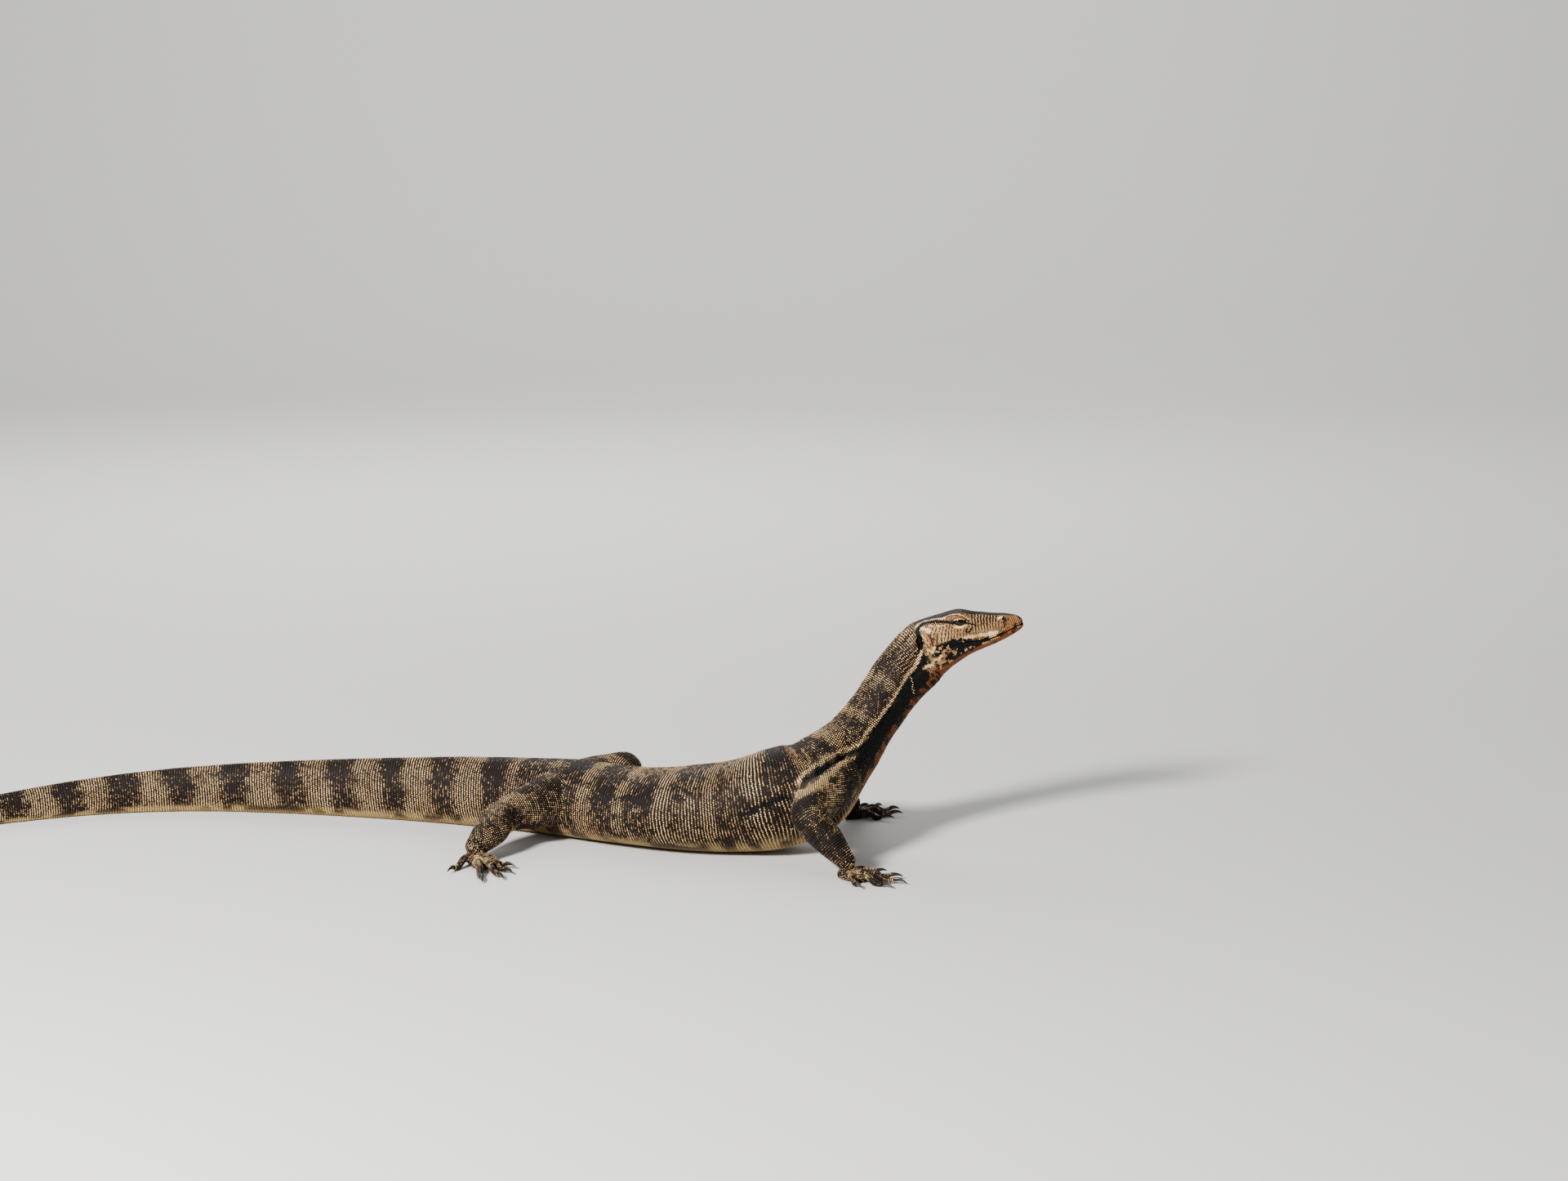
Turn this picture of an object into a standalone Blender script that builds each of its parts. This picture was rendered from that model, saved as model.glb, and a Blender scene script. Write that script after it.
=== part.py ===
"""Water monitor lizard at life size, lying on its belly with its neck and head raised.

The origin is on the floor under the middle of the belly. +X runs towards the head, +Y to the
animal's left and +Z up. Sizes are in metres and angles in degrees.
"""

import math
from typing import NamedTuple

import bmesh
import bpy
import numpy as np
from mathutils import Matrix, Vector

GAP = 0.0003  # left between two pieces that touch
FLOOR_SINK = 0.0008  # how far a resting piece is modelled below the floor before it is cut flat

# The head, measured from the tip of the snout back along the skull's axis.
SNOUT_TIP = Vector((0.328, 0.050, 0.217))
HEAD_PITCH = 13.5
HEAD_YAW = 5.7
HEAD_LENGTH = 0.103  # snout to the widest part of the jaws
NAPE = 0.117  # where the head is parted from the neck
HEAD_SQUARENESS = 2.5  # exponent of the superellipse that each section follows
SQUARENESS_FADE = 0.05  # length behind the head over which it becomes the body's

# The trunk and tail.
BODY_SQUARENESS = 2.15
BODY_SIDES = 24
HEAD_SIDES = 30
TAIL_LENGTH = 0.92
TAIL_ROOT_HEIGHT = 0.074
TAIL_TIP_HEIGHT = 0.0042
TAIL_WIDTH = 0.038
TAIL_FLARE = 0.034  # extra width where the tail meets the hips
TAIL_FLARE_LENGTH = 0.075
TAIL_KEEL = 0.10  # height of the ridge along the tail, as a share of its half height
TAIL_KEEL_START = 0.08  # distance behind the vent by which the ridge is at its full height
TAIL_KEEL_WIDTH = 0.4  # in radians, either side of the top
TAIL_CUTS = (0.28, 0.60)  # distances behind the vent where the tail is parted

EYE_BACK = 0.0632
EYE_RISE = 0.0202
EYE_SIDE = 0.0122  # from the skull's middle plane out to the middle of the eyeball
EYE_RADIUS = 0.0068
LID_RADII = (0.0100, 0.0084, 0.0079)
LID_HALF_LENGTH = 0.0064
LID_HALF_HEIGHT = 0.0031
LID_TILT = 11.0  # the back corner of the eye is the higher one

EAR_BACK = 0.1055
EAR_RISE = 0.0124
EAR_SIDE = 0.0236
EAR_RADII = (0.0030, 0.0044, 0.0086)
EAR_TILT = 13.0
NOSTRIL_BACK = 0.0185
NOSTRIL_RISE = 0.0112
NOSTRIL_RADII = (0.0021, 0.0018, 0.0013)


class Section(NamedTuple):
    """One cross-section: where its centre is, and how far it reaches each way from there."""

    x: float
    y: float
    z: float
    half_width: float
    up: float
    down: float


class Profile(NamedTuple):
    """One cross-section of the head, at a distance back from the tip of the snout."""

    back: float
    half_width: float
    up: float
    down: float


class Relief(NamedTuple):
    """A swelling or hollow on both sides of the head: its middle, its spread and its height."""

    back: float
    rise: float
    length: float
    tall: float
    height: float


class Limb(NamedTuple):
    """A leg: its joints from the body outwards, and the way that its foot points."""

    name: str
    foot: str
    root: Vector
    middle: Vector
    ankle: Vector
    heading: float
    outer_side: int


class Digit(NamedTuple):
    """A finger or toe, placed on the foot's own forward and outward axes."""

    forward: float
    outward: float
    spread: float
    length: float
    radius: float


HEAD_PROFILES = (
    Profile(0.0000, 0.0040, 0.0045, 0.0028),
    Profile(0.0030, 0.0076, 0.0086, 0.0050),
    Profile(0.0090, 0.0102, 0.0117, 0.0074),
    Profile(0.0200, 0.0122, 0.0156, 0.0106),
    Profile(0.0330, 0.0142, 0.0192, 0.0132),
    Profile(0.0450, 0.0168, 0.0238, 0.0148),
    Profile(0.0580, 0.0200, 0.0282, 0.0168),
    Profile(0.0700, 0.0222, 0.0293, 0.0208),
    Profile(0.0850, 0.0246, 0.0293, 0.0268),
    Profile(0.1000, 0.0254, 0.0282, 0.0328),
)

BODY_SECTIONS = (
    Section(0.2145, 0.0360, 0.1770, 0.0246, 0.0284, 0.0330),  # nape
    Section(0.2010, 0.0320, 0.1596, 0.0250, 0.0290, 0.0300),
    Section(0.1831, 0.0250, 0.1346, 0.0262, 0.0278, 0.0280),  # middle of the neck
    Section(0.1701, 0.0190, 0.1183, 0.0280, 0.0282, 0.0288),
    Section(0.1587, 0.0120, 0.1032, 0.0310, 0.0310, 0.0315),
    Section(0.1400, 0.0000, 0.0860, 0.0375, 0.0370, 0.0375),  # base of the neck
    Section(0.1180, -0.0120, 0.0650, 0.0450, 0.0475, 0.0460),  # shoulders
    Section(0.0814, -0.0180, 0.0535, 0.0515, 0.0490, 0.0500),
    Section(0.0407, -0.0100, 0.0440, 0.0570, 0.0445, 0.0450),
    Section(0.0000, 0.0000, 0.0400, 0.0600, 0.0410, 0.0415),  # belly
    Section(-0.0407, 0.0160, 0.0370, 0.0595, 0.0375, 0.0380),
    Section(-0.0814, 0.0330, 0.0365, 0.0540, 0.0370, 0.0374),
    Section(-0.1220, 0.0500, 0.0378, 0.0450, 0.0382, 0.0386),  # hips
    Section(-0.1550, 0.0640, 0.0370, 0.0372, 0.0372, 0.0378),  # vent
)

# The way that the tail points behind the vent: distance, then degrees from straight back to left.
TAIL_HEADINGS = ((0.0, 22.0), (0.12, 17.0), (0.30, 8.0), (0.62, -32.0), (0.92, -6.0))

HEAD_RELIEFS = (
    Relief(0.0630, 0.0262, 0.0130, 0.0030, 0.0020),  # brow
    Relief(0.0620, 0.0185, 0.0120, 0.0055, -0.0012),  # eye socket
    Relief(0.0420, 0.0185, 0.0150, 0.0030, 0.0011),  # ridge from the eye to the nostril
    Relief(0.0430, 0.0095, 0.0140, 0.0045, -0.0015),  # hollow side of the snout
    Relief(0.0860, 0.0060, 0.0150, 0.0110, 0.0020),  # jaw muscle
    Relief(0.0880, 0.0225, 0.0120, 0.0035, -0.0012),  # temple
    Relief(0.0185, 0.0112, 0.0045, 0.0035, 0.0008),  # nostril
    Relief(0.0400, -0.0012, 0.0300, 0.0022, 0.0007),  # upper lip
)

# The mouth's line: distance back from the snout, then height above the skull's axis.
MOUTH_LINE = (
    (-0.0100, 0.0014),
    (0.0000, 0.0012),
    (0.0080, 0.0002),
    (0.0140, -0.0010),
    (0.0228, -0.0032),
    (0.0320, -0.0044),
    (0.0400, -0.0041),
    (0.0508, -0.0022),
    (0.0604, -0.0006),
    (0.0718, 0.0002),
    (0.0790, -0.0014),
)
JAW_HINGE_FOOT = (0.1000, -0.0600)  # the cut behind the jaw runs down to here

LIMBS = (
    Limb("right_fore", "hand", Vector((0.138, -0.028, 0.077)), Vector((0.1135, -0.112, 0.0575)),
         Vector((0.149, -0.130, 0.018)), -26.0, -1),
    Limb("left_fore", "hand", Vector((0.144, 0.015, 0.077)), Vector((0.126, 0.087, 0.055)),
         Vector((0.158, 0.113, 0.018)), 40.0, 1),
    Limb("right_hind", "foot", Vector((-0.126, 0.038, 0.046)), Vector((-0.187, -0.013, 0.034)),
         Vector((-0.212, -0.067, 0.017)), -72.0, -1),
    Limb("left_hind", "foot", Vector((-0.116, 0.066, 0.046)), Vector((-0.073, 0.135, 0.048)),
         Vector((-0.112, 0.166, 0.018)), 34.0, 1),
)
LIMB_SIDES = 14
OVERRUN = 4  # half gaps by which a piece starts inside the one before, until it is cut clear
# Radii at the root, the thick of the upper part, the middle joint, the lower part and the ankle.
LIMB_RADII = {
    "hand": (0.0300, 0.0245, 0.0172, 0.0155, 0.0098),
    "foot": (0.0270, 0.0235, 0.0170, 0.0165, 0.0108),
}
# Sections of the flat of each foot from heel to knuckles: forward, half width, half height.
SOLES = {
    "hand": ((-0.007, 0.0045, 0.0035), (-0.002, 0.0090, 0.0064), (0.007, 0.0118, 0.0066),
             (0.016, 0.0118, 0.0056), (0.023, 0.0070, 0.0036)),
    "foot": ((-0.011, 0.0050, 0.0040), (-0.004, 0.0096, 0.0072), (0.010, 0.0122, 0.0070),
             (0.022, 0.0120, 0.0060), (0.030, 0.0072, 0.0038)),
}
SOLE_SIDES = 12
DIGITS = {
    "hand": (
        Digit(0.005, -0.0070, -50.0, 0.024, 0.0036),
        Digit(0.013, -0.0060, -25.0, 0.029, 0.0038),
        Digit(0.016, -0.0010, -5.0, 0.034, 0.0040),
        Digit(0.014, 0.0050, 15.0, 0.033, 0.0040),
        Digit(0.006, 0.0070, 46.0, 0.025, 0.0036),
    ),
    "foot": (
        Digit(0.010, -0.0070, -38.0, 0.025, 0.0038),
        Digit(0.018, -0.0060, -21.0, 0.033, 0.0040),
        Digit(0.021, -0.0020, -7.0, 0.044, 0.0042),
        Digit(0.020, 0.0040, 9.0, 0.051, 0.0044),
        Digit(0.004, 0.0070, 44.0, 0.032, 0.0040),
    ),
}
# Height of a digit's middle line from knuckle to tip, and its thickness as a share of the root's.
DIGIT_SHAPE = ((0.0, 0.0070, 1.00), (0.35, 0.0084, 0.94), (0.78, 0.0026, 0.80), (1.0, 0.0043, 0.64))
DIGIT_SIDES = 8
DIGIT_RINGS = 8
CLAW_LENGTH = 0.0125
CLAW_BEND = 52.0
CLAW_THICKNESS = 0.62  # its width as a share of its height
CLAW_TIP = 0.00045
CLAW_SIDES = 6
CLAW_RINGS = 5


def clear_scene():
    """Remove every object that the startup scene holds."""
    for old in list(bpy.data.objects):
        bpy.data.objects.remove(old)


def new_collection(name, hidden=False):
    """A collection under the scene's own. A hidden one holds cutters, which aren't parts."""
    made = bpy.data.collections.new(name)
    made.hide_render = hidden
    bpy.context.scene.collection.children.link(made)
    return made


def finish(name, colour, roughness, metallic=0.0):
    """A Principled material."""
    material = bpy.data.materials.new(name)
    material.use_nodes = True
    shader = material.node_tree.nodes["Principled BSDF"]
    shader.inputs["Base Color"].default_value = (*colour, 1.0)
    shader.inputs["Roughness"].default_value = roughness
    shader.inputs["Metallic"].default_value = metallic
    return material


def curve_through(knots, rows, at):
    """Values of a smooth curve that passes through rows at knots, read at each place in at."""
    knots, rows, at = (np.asarray(values, float) for values in (knots, rows, at))
    slopes = np.gradient(rows, knots, axis=0)
    before = np.clip(np.searchsorted(knots, at) - 1, 0, len(knots) - 2)
    step = (knots[before + 1] - knots[before])[:, None]
    t = (at - knots[before])[:, None] / step
    rows = rows.reshape(len(knots), -1)
    slopes = slopes.reshape(len(knots), -1)
    return (
        (1 + 2 * t) * (1 - t) ** 2 * rows[before]
        + t * (1 - t) ** 2 * step * slopes[before]
        + t * t * (3 - 2 * t) * rows[before + 1]
        + t * t * (t - 1) * step * slopes[before + 1]
    )


def head_frame():
    """The skull's frame: +X forward from the tip of the snout, +Y left and +Z up from its axis."""
    turn = Matrix.Rotation(math.radians(HEAD_YAW), 4, "Z")
    tilt = Matrix.Rotation(math.radians(-HEAD_PITCH), 4, "Y")
    return Matrix.Translation(SNOUT_TIP) @ turn @ tilt


def tail_sections(vent):
    """Sections behind the vent, from the tail's length, its heading and an even taper."""
    steps = 24
    reach = np.linspace(0, TAIL_LENGTH, steps + 1)
    places, headings = zip(*TAIL_HEADINGS)
    heading = np.radians(curve_through(places, headings, (reach[1:] + reach[:-1]) / 2)[:, 0])
    x = vent.x - np.cumsum(np.cos(heading)) * TAIL_LENGTH / steps
    y = vent.y + np.cumsum(np.sin(heading)) * TAIL_LENGTH / steps
    sections = []
    for i in range(1, steps):
        left = 1 - reach[i + 1] / TAIL_LENGTH
        flare = TAIL_FLARE * math.exp(-reach[i + 1] / TAIL_FLARE_LENGTH)
        width = TAIL_WIDTH * left + flare + TAIL_TIP_HEIGHT * 0.7
        height = TAIL_TIP_HEIGHT + (TAIL_ROOT_HEIGHT - TAIL_TIP_HEIGHT) * left
        middle = height / 2 - FLOOR_SINK
        sections.append(Section(x[i], y[i], middle, width / 2, height / 2, height / 2))
    return sections


class Spine:
    """The hide from the snout to the tip of the tail, as sections along one smooth line."""

    def __init__(self):
        frame = head_frame()
        rows = []
        for p in HEAD_PROFILES:
            rows.append((*(frame @ Vector((-p.back, 0, 0))), p.half_width, p.up, p.down))
        rows.extend(BODY_SECTIONS)
        self.rows = np.array(rows + tail_sections(BODY_SECTIONS[-1]))
        steps = np.linalg.norm(np.diff(self.rows[:, :3], axis=0), axis=1)
        self.knots = np.concatenate([[0], np.cumsum(steps)])
        self.length = self.knots[-1]
        vent = len(HEAD_PROFILES) + len(BODY_SECTIONS) - 1
        self.vent = self.knots[vent]
        self.neck_base = self.knots[len(HEAD_PROFILES) + 5]

    def section_at(self, along):
        """Centre, forward, left and up directions and the three reaches at each distance."""
        along = np.asarray(along, float)
        rows = curve_through(self.knots, self.rows, along)
        nudge = 0.02  # wide enough that sections on the inside of the neck bend stay apart
        ahead = curve_through(self.knots, self.rows[:, :3], np.clip(along - nudge, 0, None))
        behind = curve_through(self.knots, self.rows[:, :3], np.clip(along + nudge, 0, self.length))
        forward = ahead - behind
        forward /= np.linalg.norm(forward, axis=1)[:, None]
        left = np.cross((0.0, 0.0, 1.0), forward)
        left /= np.linalg.norm(left, axis=1)[:, None]
        return rows, forward, left, np.cross(forward, left)

    def rings(self, along, sides, swell=0.0):
        """A ring of points round the hide at each distance from the snout."""
        rows, _, left, up = self.section_at(along)
        angle = np.linspace(0, 2 * math.pi, sides, endpoint=False)
        rings = []
        for place, row, left_way, up_way in zip(along, rows, left, up):
            share = np.clip((place - HEAD_LENGTH) / SQUARENESS_FADE, 0, 1)
            square = HEAD_SQUARENESS + (BODY_SQUARENESS - HEAD_SQUARENESS) * share
            side, rise = np.sin(angle), np.cos(angle)
            reach = np.where(rise > 0, row[4], row[5])
            side = row[3] * np.sign(side) * np.abs(side) ** (2 / square)
            rise = reach * np.sign(rise) * np.abs(rise) ** (2 / square)
            if place < NAPE:
                side, rise = self.relieved(place, side, rise)
            if place > self.vent:
                grown = min(1.0, (place - self.vent) / TAIL_KEEL_START)
                ridge = np.exp(-(np.minimum(angle, 2 * math.pi - angle) / TAIL_KEEL_WIDTH) ** 2)
                rise = rise + TAIL_KEEL * row[4] * grown * ridge
            out = np.hypot(side, rise)
            side, rise = side * (1 + swell / out), rise * (1 + swell / out)
            rings.append(row[:3] + side[:, None] * left_way + rise[:, None] * up_way)
        return rings

    @staticmethod
    def relieved(back, side, rise):
        """Points of one section of the head, moved in or out by the reliefs."""
        push = np.zeros_like(side)
        for r in HEAD_RELIEFS:
            spread = ((back - r.back) / r.length) ** 2 + ((rise - r.rise) / r.tall) ** 2
            push += r.height * np.exp(-spread)
        out = np.hypot(side, rise)
        push *= np.clip(np.abs(side) / 0.006, 0, 1)
        return side * (1 + push / out), rise * (1 + push / out)


def skin_width(back, rise):
    """Distance from the skull's axis out to the plain hide, at a place on the side of the head."""
    places = [p.back for p in HEAD_PROFILES]
    sizes = [(p.half_width, p.up, p.down) for p in HEAD_PROFILES]
    half_width, up, down = curve_through(places, sizes, [back])[0]
    share = abs(rise) / (up if rise > 0 else down)
    return half_width * (1 - share**HEAD_SQUARENESS) ** (1 / HEAD_SQUARENESS)


def mesh_from_rings(name, rings, home):
    """A closed object lofted through the rings, with a flat cap at each end."""
    form = bmesh.new()
    loops = [[form.verts.new(point) for point in ring] for ring in rings]
    for ring, following in zip(loops, loops[1:]):
        for i in range(len(ring)):
            j = (i + 1) % len(ring)
            form.faces.new((ring[i], ring[j], following[j], following[i]))
    form.faces.new(loops[0])
    form.faces.new(loops[-1])
    bmesh.ops.recalc_face_normals(form, faces=form.faces)
    mesh = bpy.data.meshes.new(name)
    form.to_mesh(mesh)
    form.free()
    made = bpy.data.objects.new(name, mesh)
    home.objects.link(made)
    return made


def swept_rings(path, half_widths, half_heights, flat_way, sides, soften=0):
    """Rings along a path. flat_way is the direction in which the half widths are measured.

    soften is how many neighbours each way share in the direction of a ring, so that the rings
    stay apart on the inside of a tight bend.
    """
    path = np.asarray(path, float)
    forward = np.gradient(path, axis=0)
    forward /= np.linalg.norm(forward, axis=1)[:, None]
    if soften:
        padded = np.pad(forward, ((soften, soften), (0, 0)), mode="edge")
        shifts = [padded[i:i + len(path)] for i in range(2 * soften + 1)]
        forward = np.sum(shifts, axis=0)
        forward /= np.linalg.norm(forward, axis=1)[:, None]
    angle = np.linspace(0, 2 * math.pi, sides, endpoint=False)
    rings = []
    for point, ahead, width, height in zip(path, forward, half_widths, half_heights):
        wide = flat_way - ahead * np.dot(ahead, flat_way)
        wide /= np.linalg.norm(wide)
        tall = np.cross(ahead, wide)
        rings.append(point + np.outer(np.cos(angle) * width, wide)
                     + np.outer(np.sin(angle) * height, tall))
    return rings


def ellipsoid(name, centre, radii, turn, home, segments=16):
    """A closed ellipsoid, from a sphere of the radii turned and put at its place."""
    form = bmesh.new()
    levels = segments // 4 * 2 + 2  # even, so that a ring of points runs round the middle
    bmesh.ops.create_uvsphere(form, u_segments=segments, v_segments=levels, radius=1)
    scale = Matrix.Diagonal((*radii, 1.0))
    bmesh.ops.transform(form, matrix=Matrix.Translation(centre) @ turn @ scale, verts=form.verts)
    mesh = bpy.data.meshes.new(name)
    form.to_mesh(mesh)
    form.free()
    made = bpy.data.objects.new(name, mesh)
    home.objects.link(made)
    return made


def prism(name, outline, half_depth, frame, home):
    """A closed prism whose outline lies in the frame's X and Z, and whose depth runs along Y."""
    rings = [[frame @ Vector((x, depth, z)) for x, z in outline]
             for depth in (-half_depth, half_depth)]
    return mesh_from_rings(name, rings, home)


def block(name, low, high, home):
    """A plain box between two corners."""
    form = bmesh.new()
    bmesh.ops.create_cube(form, size=1)
    size = Vector(high) - Vector(low)
    middle = (Vector(high) + Vector(low)) / 2
    bmesh.ops.transform(form, matrix=Matrix.Translation(middle) @ Matrix.Diagonal((*size, 1)),
                        verts=form.verts)
    mesh = bpy.data.meshes.new(name)
    form.to_mesh(mesh)
    form.free()
    made = bpy.data.objects.new(name, mesh)
    home.objects.link(made)
    return made


def apply_modifiers(piece):
    """Replace the piece's mesh by its evaluated one, and remove the modifiers."""
    graph = bpy.context.evaluated_depsgraph_get()
    result = bpy.data.meshes.new_from_object(piece.evaluated_get(graph))
    piece.modifiers.clear()
    old, piece.data = piece.data, result
    bpy.data.meshes.remove(old)


def unite(piece, others):
    """Join the others to the piece with one Boolean union, and remove them."""
    pieces = bpy.data.collections.new(piece.name + "_pieces")
    bpy.context.scene.collection.children.link(pieces)
    for other in others:
        pieces.objects.link(other)
    join = piece.modifiers.new("join", "BOOLEAN")
    join.operation = "UNION"
    join.solver = "MANIFOLD"  # EXACT leaves open edges where the lids and digits cross
    join.operand_type = "COLLECTION"
    join.collection = pieces
    apply_modifiers(piece)
    for other in others:
        bpy.data.objects.remove(other)
    bpy.data.collections.remove(pieces)


def carve(piece, cutter, keep_inside=False, solver="MANIFOLD"):
    """Take the cutter away from the piece, or keep only what lies inside it.

    EXACT leaves open edges round the lids and loses a foot, so the lofts are cut by MANIFOLD.
    """
    cut = piece.modifiers.new("cut", "BOOLEAN")
    cut.solver = solver
    cut.operation = "INTERSECT" if keep_inside else "DIFFERENCE"
    cut.object = cutter
    apply_modifiers(piece)


def keep_largest(piece):
    """Drop loose scraps, so that the piece is one closed body."""
    form = bmesh.new()
    form.from_mesh(piece.data)
    if not form.verts:
        raise RuntimeError(f"nothing is left of {piece.name}")
    left, islands = set(form.verts), []
    while left:
        edge = [left.pop()]
        island = set(edge)
        while edge:
            for link in edge.pop().link_edges:
                for vert in link.verts:
                    if vert in left:
                        left.discard(vert)
                        island.add(vert)
                        edge.append(vert)
        islands.append(island)
    largest = max(islands, key=len)
    scraps = [vert for vert in form.verts if vert not in largest]
    bmesh.ops.delete(form, geom=scraps, context="VERTS")
    form.to_mesh(piece.data)
    form.free()


def dress(piece, material):
    """Give the piece one material and smooth shading with sharp cuts."""
    piece.data.materials.clear()
    piece.data.materials.append(material)
    piece.data.shade_smooth()
    piece.data.set_sharp_from_angle(angle=math.radians(50))


def spine_piece(name, spine, start, end, spacing, sides, home):
    """A length of the hide between two cuts, each half a gap short of its cut."""
    count = max(2, round((end - start) / spacing)) + 1
    along = np.linspace(start + GAP / 2, end - GAP / 2, count)
    return mesh_from_rings(name, spine.rings(along, sides), home)


def mouth_wedge(name, lift, home):
    """The space of the lower jaw, with its upper side raised by lift and its back moved by it."""
    upper = [(-back, rise + lift) for back, rise in MOUTH_LINE[:-1]]
    corner_back, corner_rise = MOUTH_LINE[-1]
    foot_back, foot_rise = JAW_HINGE_FOOT
    outline = upper + [
        (-corner_back - lift, corner_rise + lift),
        (-foot_back - lift, foot_rise),
        (-MOUTH_LINE[0][0], foot_rise),
    ]
    return prism(name, outline, 0.05, head_frame(), home)


def build_head(spine, parts, cutters):
    """The head with its sockets, lids, ears and nostrils, the lower jaw, and both eyes."""
    frame = head_frame()
    turn = frame.to_3x3().to_4x4()
    # The sections are closest at the snout and round the eyes.
    along = np.concatenate([
        np.linspace(0.0, 0.009, 6),
        np.linspace(0.0125, 0.046, 10),
        np.linspace(0.049, 0.073, 10),
        np.linspace(0.0775, NAPE - GAP / 2, 9),
    ])
    head = mesh_from_rings("head", spine.rings(along, HEAD_SIDES), parts)
    sockets, domes, slits, eyes = [], [], [], []
    ears, nostrils = [], []
    for side, name in ((1, "left"), (-1, "right")):
        eye = frame @ Vector((-EYE_BACK, side * EYE_SIDE, EYE_RISE))
        lean = turn @ Matrix.Rotation(math.radians(LID_TILT), 4, "Y")
        domes.append(ellipsoid(name + "_lids", eye, LID_RADII, lean, cutters, 20))
        sockets.append(ellipsoid(name + "_socket", eye, [EYE_RADIUS + GAP] * 3, turn, cutters, 20))
        slits.append(eye_slit(name, side, cutters))
        eyes.append(ellipsoid("eye_" + name, eye, [EYE_RADIUS] * 3, turn, parts, 18))
        lean = turn @ Matrix.Rotation(math.radians(EAR_TILT), 4, "Y")
        ear = frame @ Vector((-EAR_BACK, side * EAR_SIDE, EAR_RISE))
        ears.append(ellipsoid(name + "_ear_cup", ear, EAR_RADII, lean, cutters, 14))
        reach = skin_width(NOSTRIL_BACK, NOSTRIL_RISE)
        nostril = frame @ Vector((-NOSTRIL_BACK, side * reach, NOSTRIL_RISE))
        nostrils.append(ellipsoid(name + "_nostril", nostril, NOSTRIL_RADII, lean, cutters, 10))
    unite(head, domes)
    for cutter in slits + sockets + ears + nostrils:
        carve(head, cutter)
    jaw = bpy.data.objects.new("lower_jaw", head.data.copy())
    parts.objects.link(jaw)
    carve(jaw, mouth_wedge("jaw_space", 0.0, cutters), keep_inside=True)
    carve(head, mouth_wedge("jaw_clearance", GAP, cutters))
    for piece in (head, jaw):
        keep_largest(piece)
    return head, jaw, eyes


def eye_slit(name, side, home):
    """The almond opening between the lids, as a prism from the eyeball out past the lids."""
    frame = head_frame()
    tilt = math.radians(LID_TILT)
    points = 14
    outline = []
    for i in range(points):
        turn = 2 * math.pi * i / points
        along, across = math.cos(turn), math.sin(turn)
        x = along * LID_HALF_LENGTH
        z = across * abs(across) ** 0.35 * LID_HALF_HEIGHT
        outline.append((x * math.cos(tilt) + z * math.sin(tilt),
                        z * math.cos(tilt) - x * math.sin(tilt)))
    rings = []
    for depth in (EYE_SIDE + EYE_RADIUS * 0.45, EYE_SIDE + EYE_RADIUS * 2.5):
        rings.append([frame @ Vector((x - EYE_BACK, side * depth, z + EYE_RISE))
                      for x, z in outline])
    return mesh_from_rings(name + "_slit", rings, home)


def limb_path(limb, points):
    """Points from the root, round the middle joint, to the ankle."""
    root, middle, ankle = (np.array(joint) for joint in (limb.root, limb.middle, limb.ankle))
    joints = [root, (root + middle) / 2, middle, (middle + ankle) / 2, ankle]
    knots = [0.0, 0.5, 1.0, 1.5, 2.0]
    at = np.linspace(0, 2, points)
    radii = curve_through(knots, LIMB_RADII[limb.foot], at)[:, 0]
    return curve_through(knots, joints, at), radii


def bend_normal(limb):
    """The direction square to the plane in which the limb is bent."""
    normal = (limb.middle - limb.root).cross(limb.ankle - limb.middle)
    return np.array(normal.normalized())


def trimmed(rings, start_share, end_share):
    """The rings with a share of half a gap taken off at each end. A share below 0 adds to it."""
    rings = [np.array(ring) for ring in rings]
    for end, inner, share in ((0, 1, start_share), (-1, -2, end_share)):
        way = rings[inner].mean(axis=0) - rings[end].mean(axis=0)
        rings[end] = rings[end] + way / np.linalg.norm(way) * GAP / 2 * share
    return rings


def build_limb(limb, hull, floor, parts, cutters, hide, horn):
    """The upper and lower leg, the foot with its digits, and the claws."""
    half = 9
    path, radii = limb_path(limb, 2 * half + 1)
    bend = bend_normal(limb)
    rings = swept_rings(path, radii, radii, bend, LIMB_SIDES, soften=3)
    wider = swept_rings(path, radii + GAP, radii + GAP, bend, LIMB_SIDES, soften=3)
    upper = mesh_from_rings(limb.name + "_upper", trimmed(rings[:half + 1], 0, 1), parts)
    carve(upper, hull)
    lower = mesh_from_rings(limb.name + "_lower", trimmed(rings[half:], -OVERRUN, 1), parts)
    foot = build_foot(limb, rings[-1], radii[-1], parts, cutters)
    upper_space = trimmed(wider[:half + 1], 0, -1)
    upper_space = mesh_from_rings(limb.name + "_upper_space", upper_space, cutters)
    carve(lower, upper_space)
    lower_space = trimmed(wider[half:], -OVERRUN, -1)
    lower_space = mesh_from_rings(limb.name + "_lower_space", lower_space, cutters)
    carve(foot, lower_space)
    for piece in (upper, lower, foot):
        carve(piece, floor)
        keep_largest(piece)
        dress(piece, hide)
    for number, digit in enumerate(DIGITS[limb.foot], 1):
        claw = build_claw(f"{limb.name}_claw_{number}", limb, digit, parts)
        dress(claw, horn)


def foot_frame(limb):
    """The foot's frame on the floor under the ankle: +X to the toes, +Y to the outer side."""
    turn = math.radians(limb.heading)
    forward = Vector((math.cos(turn), math.sin(turn), 0))
    outward = Vector((-forward.y, forward.x, 0)) * limb.outer_side
    base = Matrix((forward, outward, (0, 0, 1))).transposed().to_4x4()
    return Matrix.Translation((limb.ankle.x, limb.ankle.y, 0)) @ base


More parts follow.
